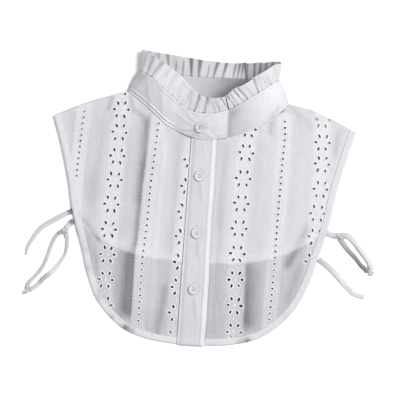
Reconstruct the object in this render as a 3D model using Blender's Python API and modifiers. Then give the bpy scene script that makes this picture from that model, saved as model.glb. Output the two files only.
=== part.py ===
"""A false collar: a sleeveless dickey of white eyelet cotton, laid flat with its front up.

Lengths in the tables are millimetres, and every mesh is made in metres by the factor MM.
X runs to the viewer's right, Y towards the collar and Z up from the surface it lies on.
"""

import math
from bisect import bisect_right

import bmesh
import bpy
from mathutils import Matrix, Vector

MM = 0.001
UP = Vector((0.0, 0.0, 1.0))

# Cloth walls and the gaps between sewn pieces
PANEL_WALL = 1.2
BINDING_WALL = 2.0
BACK_BINDING_WALL = 1.6
PLACKET_WALL = 1.6
BAND_WALL = 1.6
RUFFLE_WALL = 1.0
SEAM_GAP = 0.35
LAYER_GAP = 0.3
SURFACE_GAP = 0.1

# Cut of the panels
BINDING_WIDTH = 7.0
BACK_INSET = 2.0
FRONT_RIGHT_EDGE_X = -8.5
PLACKET_LEFT_X = -16.5
PLACKET_LEFT_TOP_X = -13.6
PLACKET_RIGHT_X = 12.0
PLACKET_STEP_X = -10.0
PLACKET_FOOT_DROP = 0.8

# Height of the front cloth's middle above the surface
FRONT_ON_FLOOR = 1.0
FRONT_ON_BACK = 2.2
FRONT_ON_BACK_BINDING = 2.9
LOFT_OVER_FLOOR = 3.6
LOFT_OVER_BACK = 1.6
LOFT_FROM = 5.0
LOFT_TO = 34.0
BACK_EDGE_REACH = 6.0
BACK_EDGE_FALL = 18.0
NECK_LIFT_REACH = 26.0

# The shoulder from beside the neck, then the armhole and hem of each side, 1 for the viewer's right
# and -1 for the left. Both sides are written as if on the right.
SHOULDER = [(109.5, 101.2), (134.0, 91.6), (158.8, 79.8)]
ARMHOLE_AND_HEM = {
    1: [(158.8, 79.8), (150.4, 50.5), (142.0, 16.8), (136.2, -17.0), (127.3, -50.5),
        (117.4, -84.2), (102.0, -113.5), (74.0, -139.0), (40.0, -150.0), (0.0, -153.0)],
    -1: [(158.8, 79.8), (149.4, 50.5), (140.6, 16.8), (134.0, -17.0), (124.0, -50.5),
         (114.4, -84.2), (101.0, -113.5), (73.5, -139.0), (40.0, -150.0), (0.0, -153.0)],
}
# Lower edge of the back, from its corner at the armhole to the centre
BACK_HEM = {
    1: [(133.8, -19.0), (127.0, -27.5), (115.0, -38.5), (84.0, -55.0), (45.0, -63.5), (0.0, -66.0)],
    -1: [(131.6, -19.0), (125.2, -27.5), (113.6, -39.5), (84.0, -55.0), (45.0, -63.5), (0.0, -66.0)],
}

# Stations all round the collar, from the centre front by the right side, the back and the left side:
# neck seam x, y, z, then the ruffle's seam x, y, z, then the ruffle's free edge x, y, z
COLLAR_STATIONS = [
    (0.0, 63.0, 6.6, 0.0, 90.3, 18.0, 0.0, 106.0, 29.0),
    (20.0, 66.3, 6.4, 19.5, 94.0, 18.6, 16.0, 108.0, 30.5),
    (38.0, 71.8, 6.0, 35.0, 102.4, 19.2, 28.0, 116.4, 31.0),
    (55.0, 79.8, 5.6, 50.0, 112.4, 19.4, 42.0, 125.2, 31.0),
    (70.0, 90.2, 5.2, 62.0, 120.8, 17.6, 55.5, 135.0, 28.5),
    (81.0, 99.4, 4.4, 71.0, 127.4, 13.6, 68.0, 144.6, 21.5),
    (86.0, 105.6, 2.6, 74.6, 130.0, 7.6, 76.8, 148.0, 12.8),
    (80.0, 105.6, 1.0, 70.0, 129.8, 2.4, 71.5, 149.2, 6.2),
    (62.0, 102.6, 0.8, 52.0, 129.5, 0.8, 52.5, 147.2, 3.4),
    (31.0, 100.2, 0.8, 27.0, 129.2, 0.8, 26.0, 145.6, 3.2),
    (0.0, 99.4, 0.8, 0.0, 129.0, 0.8, 0.0, 146.4, 3.2),
    (-31.0, 100.4, 0.8, -27.0, 129.4, 0.8, -26.0, 148.6, 3.2),
    (-62.0, 103.4, 0.8, -52.0, 129.8, 0.8, -50.0, 151.2, 3.4),
    (-77.0, 107.4, 1.0, -67.5, 130.4, 2.4, -66.0, 153.2, 6.2),
    (-82.4, 109.8, 2.6, -71.5, 131.0, 7.8, -70.5, 153.6, 12.0),
    (-78.0, 106.8, 4.2, -67.5, 129.6, 14.0, -62.5, 150.2, 18.5),
    (-68.0, 100.2, 5.2, -59.5, 125.2, 18.5, -50.5, 143.4, 23.5),
    (-56.0, 90.6, 5.8, -49.5, 117.3, 20.5, -38.0, 135.0, 25.5),
    (-40.0, 77.2, 6.2, -35.0, 105.2, 20.0, -24.5, 124.5, 26.5),
    (-20.0, 67.6, 6.4, -18.5, 93.6, 18.8, -13.0, 112.5, 28.5),
]
RIGHT_FOLD_STATION = 6
LEFT_FOLD_STATION = 14
STEPS_PER_STATION = 12
BAND_UNDER_END = -12.0
BAND_UPPER_END = 24.0
BAND_LIFT_FROM = -33.0
BAND_LIFT_TO = -14.0
BAND_LIFT = BAND_WALL + LAYER_GAP + 0.4
BAND_BULGE = 1.2
BAND_STANDS_AT = 6.0

# Gathers of the ruffle
RUFFLE_WAVES = 41
SAMPLES_PER_WAVE = 6
RUFFLE_ROWS = 3
WAVE_HEIGHT = 2.1
ROOT_WAVE_HEIGHT = 0.25
WAVE_DRIFT = 0.22
WAVE_VARIATION = 0.18
CREST_FLATNESS = 0.16
RUFFLE_END_GAP = 1.2
DRIFT_HALF_TURNS = 9
SIZE_HALF_TURNS = 23

# Soft folds of the front: from x, y to x, y, half width, height. Each runs out past both ends.
FOLD_RUN_OUT = 0.25
FOLD_FULL_FROM = 0.3
FRONT_FOLDS = [
    (-66.0, -48.0, -71.0, -132.0, 5.5, 2.2),
    (-47.0, -62.0, -46.0, -142.0, 5.0, 1.2),
    (52.0, -58.0, 56.0, -142.0, 6.0, 2.4),
    (66.0, -40.0, 70.0, -130.0, 5.0, 1.1),
    (88.0, 62.0, 86.0, -40.0, 7.0, 1.3),
    (-39.0, 64.0, -36.0, -36.0, 8.0, 1.2),
    (27.0, 52.0, 26.0, -104.0, 7.0, 1.3),
    (104.0, 70.0, 99.0, -34.0, 8.0, 1.1),
    (-108.0, 66.0, -112.0, -72.0, 8.0, 1.4),
    (-88.0, 102.0, -97.0, 78.0, 4.0, 1.6),
    (-78.0, 96.0, -82.0, 70.0, 4.0, 1.1),
    (80.0, 98.0, 84.0, 74.0, 4.5, 1.6),
    (95.0, 100.0, 104.0, 80.0, 4.0, 1.1),
    (-96.0, -92.0, -86.0, -118.0, 4.5, 1.3),
]

# Buttons: x, y of the three on the placket, and the place of the one on the band
BUTTON_PLACES = [(-2.1, 25.0), (-1.8, -35.0), (-1.6, -93.8)]
BAND_BUTTON_ALONG = -4.1
BAND_BUTTON_UP = 0.5
BUTTON_RADIUS = 5.75
BUTTON_RIM_WIDTH = 1.1
BUTTON_RIM_HEIGHT = 2.4
BUTTON_DISH_HEIGHT = 1.7
BUTTON_HOLE_RADIUS = 0.7
BUTTON_HOLE_OFFSET = 1.25
BUTTON_STEPS = 24

# Tape ties: width, thickness, and the way each one runs (x, y, z of its middle)
TIE_WIDTH = 5.0
TIE_WALL = 1.1
TIE_ROUTES = {
    "tie_left_back": [
        (-132.4, -18.6, 0.62), (-142.5, -23.9, 0.62), (-150.6, -28.8, 0.62), (-158.6, -33.8, 0.62),
        (-166.0, -39.6, 0.62), (-173.0, -49.5, 0.62), (-178.4, -59.5, 0.62), (-180.0, -68.4, 0.62),
    ],
    "tie_left_root": [(-132.2, -29.4, 2.4), (-134.8, -32.4, 2.2), (-137.3, -35.6, 2.3)],
    "tie_left_outer": [
        (-143.8, -41.6, 1.9), (-149.0, -46.4, 0.62), (-152.8, -55.0, 0.62), (-156.0, -66.0, 0.62),
        (-160.2, -77.5, 0.62), (-166.6, -87.4, 0.62), (-174.4, -96.2, 0.62), (-177.0, -100.8, 1.9),
    ],
    "tie_left_inner": [
        (-138.6, -44.2, 1.9), (-137.4, -50.5, 0.62), (-138.6, -64.0, 0.62), (-144.6, -75.2, 0.62),
        (-151.8, -84.6, 0.62), (-159.8, -91.4, 0.62), (-165.6, -98.8, 0.62), (-171.2, -104.4, 1.6),
    ],
    "tie_right_root": [(132.4, -26.4, 0.62), (138.4, -28.4, 0.9), (144.1, -29.3, 2.3)],
    "tie_right_upper": [
        (153.2, -28.3, 1.9), (159.4, -30.6, 0.62), (166.4, -37.4, 0.62), (173.8, -46.4, 0.62),
        (180.0, -54.0, 0.62), (183.8, -61.2, 1.9),
    ],
    "tie_right_lower": [
        (150.0, -33.6, 1.9), (157.0, -43.2, 0.62), (165.8, -51.8, 0.62), (171.8, -58.8, 0.62),
        (177.0, -64.2, 1.6),
    ],
    "tie_right_front": [
        (127.4, -55.2, 1.0), (132.4, -58.6, 0.7), (139.6, -63.8, 0.62), (149.7, -72.9, 0.62),
        (159.6, -83.6, 0.62), (166.6, -89.6, 0.62), (176.7, -92.0, 0.62),
    ],
}
TIE_POINT_SPACING = 7.0
KNOT_SUBDIVISIONS = 2
# Knots: x, y, z of the middle, half length, half width, half height, turn in degrees
KNOTS = {
    "knot_left": (-139.8, -39.6, 2.6, 4.2, 3.4, 2.5, 55.0),
    "knot_left_end": (-176.9, -105.6, 2.3, 4.4, 3.0, 2.2, 45.0),
    "knot_right": (148.6, -29.4, 2.6, 4.3, 3.5, 2.5, 10.0),
    "knot_right_end": (182.8, -66.0, 2.3, 4.2, 3.0, 2.2, -40.0),
}


def smoothstep(low, high, value):
    share = min(max((value - low) / (high - low), 0.0), 1.0)
    return share * share * (3.0 - 2.0 * share)


def catmull_rom(rows, steps):
    """Points on the smooth curve through the rows, each a tuple of any length."""
    points = [Vector(row) for row in rows]
    points = [2 * points[0] - points[1]] + points + [2 * points[-1] - points[-2]]
    curve = []
    for index in range(1, len(points) - 2):
        before, start, end, after = points[index - 1:index + 3]
        for step in range(steps):
            t = step / steps
            curve.append(0.5 * (
                2 * start + (end - before) * t
                + (2 * before - 5 * start + 4 * end - after) * t * t
                + (3 * start - before - 3 * end + after) * t ** 3
            ))
    curve.append(points[-2])
    return curve


def lengths_along(points):
    lengths = [0.0]
    for start, end in zip(points, points[1:]):
        lengths.append(lengths[-1] + (end - start).length)
    return lengths


def point_at(points, lengths, distance):
    """The point of a polyline at a distance along it."""
    distance = min(max(distance, 0.0), lengths[-1])
    index = min(bisect_right(lengths, distance), len(points) - 1) - 1
    share = (distance - lengths[index]) / (lengths[index + 1] - lengths[index])
    return points[index].lerp(points[index + 1], share)


def spread(points, count):
    """The polyline again, as count + 1 points at equal distances."""
    lengths = lengths_along(points)
    return [point_at(points, lengths, lengths[-1] * i / count) for i in range(count + 1)]


def moved_inward(points, distance):
    """A 2D polyline moved to its right-hand side, seen along its run."""
    moved = []
    for index, point in enumerate(points):
        run = points[min(index + 1, len(points) - 1)] - points[max(index - 1, 0)]
        run.normalize()
        moved.append(point + Vector((run.y, -run.x)) * distance)
    return moved


def mirrored(points):
    return [Vector((-point.x, point.y)) for point in points]


def cut_at_x(points, x):
    """A 2D polyline that runs towards smaller x, ended where it meets this x."""
    kept = []
    for point, following in zip(points, points[1:]):
        kept.append(point)
        if point.x >= x > following.x:
            share = (point.x - x) / (point.x - following.x)
            kept.append(point.lerp(following, share))
            return kept
    return kept + [points[-1]]


def distance_to(points, x, y):
    """Distance from a place to a 2D polyline, and how far along it the nearest point is."""
    place = Vector((x, y))
    nearest = (1e9, 0.0)
    travelled = 0.0
    for start, end in zip(points, points[1:]):
        run = end - start
        length = run.length
        share = min(max((place - start).dot(run) / (length * length), 0.0), 1.0)
        nearest = min(nearest, ((start + run * share - place).length, travelled + share * length))
        travelled += length
    return nearest


def is_inside(outline, x, y):
    inside = False
    for start, end in zip(outline, outline[1:] + outline[:1]):
        if (start.y > y) != (end.y > y):
            if x < start.x + (y - start.y) * (end.x - start.x) / (end.y - start.y):
                inside = not inside
    return inside


# The collar as a closed ring, measured along the ruffle's seam from the centre front
LOOP = COLLAR_STATIONS + COLLAR_STATIONS[:1]
WRAP = 2
RING = catmull_rom(LOOP[-1 - WRAP:-1] + LOOP + LOOP[1:1 + WRAP], STEPS_PER_STATION)
RING = RING[WRAP * STEPS_PER_STATION:len(RING) - WRAP * STEPS_PER_STATION]
RING_LENGTHS = lengths_along([Vector(row[3:6]) for row in RING])
RING_LENGTH = RING_LENGTHS[-1]
NORMAL_STEP = 1.5


def ring_row(along):
    """Neck seam, ruffle seam and free edge at a distance round the collar."""
    row = point_at(RING, RING_LENGTHS, along % RING_LENGTH)
    return Vector(row[0:3]), Vector(row[3:6]), Vector(row[6:9])


def band_lift(along):
    """How far the upper end of the band is raised over the lower one."""
    return BAND_LIFT * smoothstep(RING_LENGTH + BAND_LIFT_FROM, RING_LENGTH + BAND_LIFT_TO, along)


def ring_frame(along):
    """The three seam points at a place round the collar and the two outward normals there."""
    neck, seam, edge = ring_row(along)
    neck_before, seam_before, edge_before = ring_row(along - NORMAL_STEP)
    neck_after, seam_after, edge_after = ring_row(along + NORMAL_STEP)
    band_run = (neck_after + seam_after) - (neck_before + seam_before)
    ruffle_run = (seam_after + edge_after) - (seam_before + edge_before)
    band_normal = band_run.cross(seam - neck).normalized()
    ruffle_normal = ruffle_run.cross(edge - seam).normalized()
    return neck, seam, edge, band_normal, ruffle_normal


def above_surface(point, wall):
    """The middle of a wall, kept high enough for its underside to clear the surface."""
    point.z = max(point.z, wall / 2.0 + SURFACE_GAP)
    return point


def band_point(along, up):
    """A point of the band's middle, up being 0 at the neck seam and 1 at the ruffle."""
    neck, seam, _, normal, _ = ring_frame(along)
    width = (seam - neck).length
    up = SEAM_GAP / width + up * (1.0 - SEAM_GAP / width)
    standing = smoothstep(BAND_WALL / 2.0, BAND_STANDS_AT, neck.lerp(seam, up).z)
    bulge = BAND_BULGE * 4.0 * up * (1.0 - up) * standing
    return above_surface(neck.lerp(seam, up) + normal * bulge + UP * band_lift(along), BAND_WALL), normal


RIGHT_FOLD = RIGHT_FOLD_STATION * STEPS_PER_STATION
LEFT_FOLD = LEFT_FOLD_STATION * STEPS_PER_STATION

# The front neckline from the viewer's left neck point to the right one, and the back one
FRONT_NECK_COUNT = 60
FRONT_NECK = [Vector(row[0:3]) for row in RING[LEFT_FOLD:-1] + RING[:RIGHT_FOLD + 1]]
FRONT_NECK = spread(FRONT_NECK, FRONT_NECK_COUNT)
FRONT_NECK_PLAN = [Vector(point[:2]) for point in FRONT_NECK]
FRONT_NECK_LENGTHS = lengths_along(FRONT_NECK_PLAN)
BACK_NECK_PLAN = [Vector(row[0:2]) for row in RING[RIGHT_FOLD:LEFT_FOLD + 1]]

CURVE_STEPS = 8
NECK_POINT_GAP = 1.0
CORNER_GAP = 3.0
BACK_EDGE_COUNT = 44
BACK_NECK_COUNT = 28
BACK_SHOULDER_COUNT = 6
SHOULDER_PLAN = catmull_rom(SHOULDER, CURVE_STEPS)
EDGE_PLAN = {side: catmull_rom(rows, CURVE_STEPS) for side, rows in ARMHOLE_AND_HEM.items()}


def back_edge(side):
    """The back's armhole and hem on one side, as if on the right."""
    corner_y = BACK_HEM[side][0][1] + CORNER_GAP
    armhole = [point for point in moved_inward(EDGE_PLAN[side], BACK_INSET) if point.y > corner_y]
    return spread(armhole + catmull_rom(BACK_HEM[side], CURVE_STEPS), BACK_EDGE_COUNT)


def both_sides(half):
    """One line from the right half and the left one, which is written as if on the right."""
    return half[1] + list(reversed(mirrored(half[-1][:-1])))


BACK_HALF = {side: back_edge(side) for side in (1, -1)}
BACK_OUTLINE = both_sides(BACK_HALF)
BEYOND_SHOULDER = [Vector((-170.0, 130.0)), Vector((170.0, 130.0))]
BACK_CLOSED = BACK_OUTLINE + BEYOND_SHOULDER
FRONT_RIM = both_sides({side: SHOULDER_PLAN[:-1] + EDGE_PLAN[side] for side in (1, -1)})


def fold_height(x, y):
    total = 0.0
    for start_x, start_y, end_x, end_y, half_width, height in FRONT_FOLDS:
        start = Vector((start_x, start_y))
        run = Vector((end_x, end_y)) - start
        share = (Vector((x, y)) - start).dot(run) / run.length_squared
        if -FOLD_RUN_OUT < share < 1.0 + FOLD_RUN_OUT:
            across = (Vector((x, y)) - start - run * share).length
            starts = smoothstep(-FOLD_RUN_OUT, FOLD_FULL_FROM, share)
            ends = smoothstep(-FOLD_RUN_OUT, FOLD_FULL_FROM, 1.0 - share)
            total += height * starts * ends * math.exp(-(across / half_width) ** 2)
    return total


def front_height(x, y):
    """Height of the middle of the front cloth at a place."""
    to_back_edge = distance_to(BACK_OUTLINE, x, y)[0]
    off_the_back = 0.0
    if is_inside(BACK_CLOSED, x, y):
        over_binding = 1.0 - smoothstep(BINDING_WIDTH, 2.0 * BINDING_WIDTH, to_back_edge)
        height = FRONT_ON_BACK + (FRONT_ON_BACK_BINDING - FRONT_ON_BACK) * over_binding
    else:
        off_the_back = smoothstep(BACK_EDGE_REACH, BACK_EDGE_REACH + BACK_EDGE_FALL, to_back_edge)
        height = FRONT_ON_BACK_BINDING + (FRONT_ON_FLOOR - FRONT_ON_BACK_BINDING) * off_the_back
    loft = LOFT_OVER_BACK + (LOFT_OVER_FLOOR - LOFT_OVER_BACK) * off_the_back
    height += loft * smoothstep(LOFT_FROM, LOFT_TO, distance_to(FRONT_RIM, x, y)[0])
    to_neck, along = distance_to(FRONT_NECK_PLAN, x, y)
    neck_height = point_at(FRONT_NECK, FRONT_NECK_LENGTHS, along).z
    near_neck = (1.0 - min(to_neck / NECK_LIFT_REACH, 1.0)) ** 2
    height += fold_height(x, y) * (1.0 - near_neck)
    return height + (neck_height - height) * near_neck


def material(name, colour, roughness):
    made = bpy.data.materials.new(name)
    made.use_nodes = True
    shader = made.node_tree.nodes["Principled BSDF"]
    shader.inputs["Base Color"].default_value = (*colour, 1.0)
    shader.inputs["Roughness"].default_value = roughness
    shader.inputs["Metallic"].default_value = 0.0
    made.diffuse_color = (*colour, 1.0)
    return made


def finish(obj, made_of, smooth=True):
    """Gives an object its material and puts it in the collar's collection."""
    obj.data.materials.clear()
    obj.data.materials.append(made_of)
    if smooth and obj.type == "MESH":
        obj.data.shade_smooth()
    PIECES.objects.link(obj)
    return obj


def grid_object(name, rows, wall, made_of):
    """A sheet through rows of points in millimetres, thickened to a wall about its middle."""
    mesh = bpy.data.meshes.new(name)
    columns = len(rows[0])
    vertices = [tuple(point * MM) for row in rows for point in row]
    faces = []
    for row in range(len(rows) - 1):
        for column in range(columns - 1):
            first = row * columns + column
            faces.append((first, first + 1, first + columns + 1, first + columns))
    mesh.from_pydata(vertices, [], faces)
    mesh.update()
    obj = bpy.data.objects.new(name, mesh)
    solidify = obj.modifiers.new("Wall", "SOLIDIFY")
    solidify.thickness = wall * MM
    solidify.offset = 0.0
    solidify.use_even_offset = False
    return finish(obj, made_of)


def coons_grid(near, far, across_start, across_end):
    """Plan points between four edges. near and far share one count, the two across another."""
    rows = []
    last_row = len(across_start) - 1
    last_column = len(near) - 1
    for i in range(last_row + 1):
        v = i / last_row
        row = []
        for j in range(last_column + 1):
            u = j / last_column
            between_long = near[j].lerp(far[j], v)
            between_short = across_start[i].lerp(across_end[i], u)
            corners = near[0].lerp(near[-1], u).lerp(far[0].lerp(far[-1], u), v)
            row.append(between_long + between_short - corners)
        rows.append(row)
    return rows


def raised(plan_rows, extra=0.0):
    return [[Vector((p.x, p.y, front_height(p.x, p.y) + extra)) for p in row] for row in plan_rows]


def mirror_rows(rows):
    """Rows of plan points on the other side, in the order that keeps the faces' upper side up."""
    return [list(reversed(mirrored(row))) for row in rows]


def neckline_at(x):
    """The place on the front neckline at this x."""
    for point, following in zip(FRONT_NECK_PLAN, FRONT_NECK_PLAN[1:]):
        if point.x <= x < following.x:
            return point.lerp(following, (x - point.x) / (following.x - point.x))
    return FRONT_NECK_PLAN[-1]


def half_neckline(side, inner_x):
    """Plan of the front neckline on one side, as if on the right, from this x to the neck point."""
    start = neckline_at(side * inner_x)
    if side > 0:
        half = [start] + [point for point in FRONT_NECK_PLAN if point.x > inner_x + NECK_POINT_GAP]
    else:
        half = [point for point in reversed(FRONT_NECK_PLAN) if point.x < -inner_x - NECK_POINT_GAP]
        half = [start] + half
        half = mirrored(half)
    return moved_inward(half, SEAM_GAP)


PANEL_COLUMNS = 20
PANEL_ROWS = 17
BINDING_COLUMNS = 42
PLACKET_ROWS = 34


def front_plan(side, top_x, foot_x):
    """Plan of a front panel, as if on the right, whose inner edge runs between these places."""
    neck = spread(half_neckline(side, top_x), PANEL_COLUMNS)
    edge = cut_at_x(moved_inward(EDGE_PLAN[side], BINDING_WIDTH + SEAM_GAP), foot_x)
    hem = list(reversed(spread(edge, PANEL_COLUMNS)))
    shoulder = spread([neck[-1]] + SHOULDER_PLAN[:-2] + [hem[-1]], PANEL_ROWS)
    inner = spread([neck[0], hem[0]], PANEL_ROWS)
    return coons_grid(neck, hem, inner, shoulder)


def binding_plan(side, inner_x):
    """Plan of a binding, as if on the right, from the shoulder to this x, three points across."""
    rows = []
    for inset in (0.0, BINDING_WIDTH / 2.0, BINDING_WIDTH):
        edge = moved_inward(EDGE_PLAN[side], inset)
        rows.append(spread(cut_at_x(edge, inner_x), BINDING_COLUMNS))
    return rows


def flat_cutout(name, outline, wall, made_of):
    """A flat filled outline in millimetres that lies on the surface."""
    curve = bpy.data.curves.new(name, "CURVE")
    curve.dimensions = "2D"
    curve.fill_mode = "BOTH"
    curve.extrude = wall * MM / 2.0
    spline = curve.splines.new("POLY")
    spline.points.add(len(outline) - 1)
    for point, place in zip(spline.points, outline):
        point.co = (place.x * MM, place.y * MM, 0.0, 1.0)
    spline.use_cyclic_u = True
    obj = bpy.data.objects.new(name, curve)
    obj.location.z = wall * MM / 2.0
    return finish(obj, made_of)


def make_back():
    inner = {side: moved_inward(half, BINDING_WIDTH + SEAM_GAP) for side, half in BACK_HALF.items()}
    neck = [point + Vector((0.0, -SEAM_GAP)) for point in spread(BACK_NECK_PLAN, BACK_NECK_COUNT)]
    halves = {}
    for side, start in ((1, neck[0]), (-1, Vector((-neck[-1].x, neck[-1].y)))):
        shoulder = spread([start] + SHOULDER_PLAN[:-3] + [inner[side][0]], BACK_SHOULDER_COUNT)
        halves[side] = shoulder[1:-1] + inner[side]
    outline = list(reversed(neck)) + both_sides(halves)
    flat_cutout("back_panel", outline, PANEL_WALL, EYELET_CLOTH)
    inside = both_sides({side: moved_inward(half, BINDING_WIDTH) for side, half in BACK_HALF.items()})
    flat_cutout("back_binding", BACK_OUTLINE + list(reversed(inside)), BACK_BINDING_WALL, PLAIN_CLOTH)


def make_fronts():
    right = raised(front_plan(1, FRONT_RIGHT_EDGE_X, FRONT_RIGHT_EDGE_X))
    grid_object("front_right", right, PANEL_WALL, EYELET_CLOTH)
    left_plan = front_plan(-1, SEAM_GAP - PLACKET_LEFT_TOP_X, SEAM_GAP - PLACKET_LEFT_X)
    grid_object("front_left", raised(mirror_rows(left_plan)), PANEL_WALL, EYELET_CLOTH)
    right_edge = raised(binding_plan(1, FRONT_RIGHT_EDGE_X))
    grid_object("binding_right", right_edge, BINDING_WALL, PLAIN_CLOTH)
    left_edge = mirror_rows(binding_plan(-1, SEAM_GAP - PLACKET_LEFT_X))
    grid_object("binding_left", raised(left_edge), BINDING_WALL, PLAIN_CLOTH)


def placket_lift(x):
    """Extra height of the placket's middle, which steps from beside one front to over the other."""
    over = BINDING_WALL / 2.0 + LAYER_GAP + PLACKET_WALL / 2.0
    level = (PLACKET_WALL - PANEL_WALL) / 2.0
    return level + (over - level) * smoothstep(PLACKET_LEFT_X, PLACKET_STEP_X, x)


def make_placket():
    rise = (PLACKET_STEP_X - PLACKET_LEFT_X) / 3.0
    level = (PLACKET_RIGHT_X - PLACKET_STEP_X) / 3.0
    across = [PLACKET_LEFT_X + rise * i for i in range(3)] + [PLACKET_STEP_X + level * i for i in range(4)]
    lean = PLACKET_LEFT_TOP_X - PLACKET_LEFT_X
    foot = ARMHOLE_AND_HEM[1][-1][1] - PLACKET_FOOT_DROP
    rows = []
    for i in range(PLACKET_ROWS + 1):
        down = i / PLACKET_ROWS
        row = []
        for flat_x in across:
            to_right = (PLACKET_RIGHT_X - flat_x) / (PLACKET_RIGHT_X - PLACKET_LEFT_X)
            top_x = flat_x + lean * to_right
            top = Vector((top_x, neckline_at(top_x).y - SEAM_GAP))
            place = top.lerp(Vector((flat_x, foot)), down)
            row.append(Vector((place.x, place.y, front_height(*place) + placket_lift(flat_x))))
        rows.append(list(reversed(row)))
    return grid_object("placket", rows, PLACKET_WALL, PLAIN_CLOTH)


BAND_COLUMNS = 64
BAND_ROWS = 3


def make_band():
    start = BAND_UNDER_END
    end = RING_LENGTH + BAND_UPPER_END
    rows = []
    for i in range(BAND_ROWS + 1):
        row = [band_point(start + (end - start) * j / BAND_COLUMNS, i / BAND_ROWS)[0]
               for j in range(BAND_COLUMNS + 1)]
        rows.append(row)
    return grid_object("collar_band", rows, BAND_WALL, PLAIN_CLOTH)


def make_ruffle():
    start = BAND_UPPER_END + RUFFLE_END_GAP
    end = RING_LENGTH + BAND_UPPER_END
    columns = RUFFLE_WAVES * SAMPLES_PER_WAVE
    rows = [[] for _ in range(RUFFLE_ROWS + 1)]
    for j in range(columns + 1):
        share = j / columns
        along = start + (end - start) * share
        _, seam, edge, _, normal = ring_frame(along)
        uneven = WAVE_DRIFT * math.sin(DRIFT_HALF_TURNS * math.pi * share)
        phase = 2.0 * math.pi * (RUFFLE_WAVES * share + uneven)
        change = WAVE_VARIATION * math.sin(SIZE_HALF_TURNS * math.pi * share)
        size = WAVE_HEIGHT * (1.0 - WAVE_VARIATION + change)
        run = (edge - seam).normalized()
        root = seam + run * SEAM_GAP + UP * band_lift(along)
        tip = edge + UP * band_lift(along)
        for i in range(RUFFLE_ROWS + 1):
            up = i / RUFFLE_ROWS
            height = ROOT_WAVE_HEIGHT + (size - ROOT_WAVE_HEIGHT) * up
            wave = math.sin(phase) + CREST_FLATNESS * normal.z * math.cos(2.0 * phase)
            point = root.lerp(tip, up) + normal * height * wave
            rows[i].append(above_surface(point, RUFFLE_WALL))
    return grid_object("collar_ruffle", rows, RUFFLE_WALL, PLAIN_CLOTH)


def button_mesh():
    """A turned disc with a raised rim and a dished middle, and four holes cut through it."""
    rim_in = BUTTON_RADIUS - BUTTON_RIM_WIDTH
    rounding = BUTTON_RIM_WIDTH / 4.0
    profile = [
        (0.0, BUTTON_DISH_HEIGHT), (rim_in - 2.0 * rounding, BUTTON_DISH_HEIGHT),
        (rim_in, BUTTON_RIM_HEIGHT), (BUTTON_RADIUS - rounding, BUTTON_RIM_HEIGHT),
        (BUTTON_RADIUS, BUTTON_RIM_HEIGHT / 2.0), (BUTTON_RADIUS - 3.0 * rounding, 0.0), (0.0, 0.0),
    ]
    mesh = bpy.data.meshes.new("button_profile")
    mesh.from_pydata([(r * MM, 0.0, z * MM) for r, z in profile],
                     [(i, i + 1) for i in range(len(profile) - 1)], [])
    turned = bpy.data.objects.new("button_turned", mesh)
    screw = turned.modifiers.new("Turn", "SCREW")
    screw.steps = BUTTON_STEPS
    screw.render_steps = BUTTON_STEPS
    screw.use_merge_vertices = True
    screw.merge_threshold = 0.00001
    CUTTERS.objects.link(turned)
    for turn in range(4):
        angle = math.radians(45.0 + 90.0 * turn)
        place = Vector((math.cos(angle), math.sin(angle), 0.0)) * BUTTON_HOLE_OFFSET * math.sqrt(2.0)
        cutter_mesh = bpy.data.meshes.new("button_hole")
        bm = bmesh.new()
        bmesh.ops.create_cone(bm, cap_ends=True, segments=8, radius1=BUTTON_HOLE_RADIUS * MM,
                              radius2=BUTTON_HOLE_RADIUS * MM, depth=4.0 * BUTTON_RIM_HEIGHT * MM,
                              matrix=Matrix.Translation(place * MM))
        bm.to_mesh(cutter_mesh)
        bm.free()
        cutter = bpy.data.objects.new(f"button_hole_{turn + 1}", cutter_mesh)
        cutter.hide_render = True
        cutter.display_type = "WIRE"
        CUTTERS.objects.link(cutter)
        cut = turned.modifiers.new(f"Hole {turn + 1}", "BOOLEAN")
        cut.object = cutter
        cut.solver = "EXACT"
    graph = bpy.context.evaluated_depsgraph_get()
    made = bpy.data.meshes.new_from_object(turned.evaluated_get(graph))
    made.name = "button"
    bpy.data.objects.remove(turned)
    return made


def make_buttons():
    shared = button_mesh()
    flat_top = PLACKET_WALL / 2.0 + LAYER_GAP
    places = []
    middle, normal = band_point(RING_LENGTH + BAND_BUTTON_ALONG, BAND_BUTTON_UP)
    places.append((middle + normal * (BAND_WALL / 2.0 + LAYER_GAP), normal))
    for x, y in BUTTON_PLACES:
        height = front_height(x, y) + placket_lift(x)
        reach = BUTTON_RADIUS / 2.0
        slope_x = (front_height(x + reach, y) - front_height(x - reach, y)) / BUTTON_RADIUS
        slope_y = (front_height(x, y + reach) - front_height(x, y - reach)) / BUTTON_RADIUS
        normal = Vector((-slope_x, -slope_y, 1.0)).normalized()
        places.append((Vector((x, y, height)) + normal * flat_top, normal))
    for number, (place, normal) in enumerate(places, start=1):
        obj = bpy.data.objects.new(f"button_{number}", shared.copy())
        obj.location = place * MM
        obj.rotation_euler = normal.to_track_quat("Z", "Y").to_euler()
        finish(obj, BUTTON_RESIN)


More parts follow.
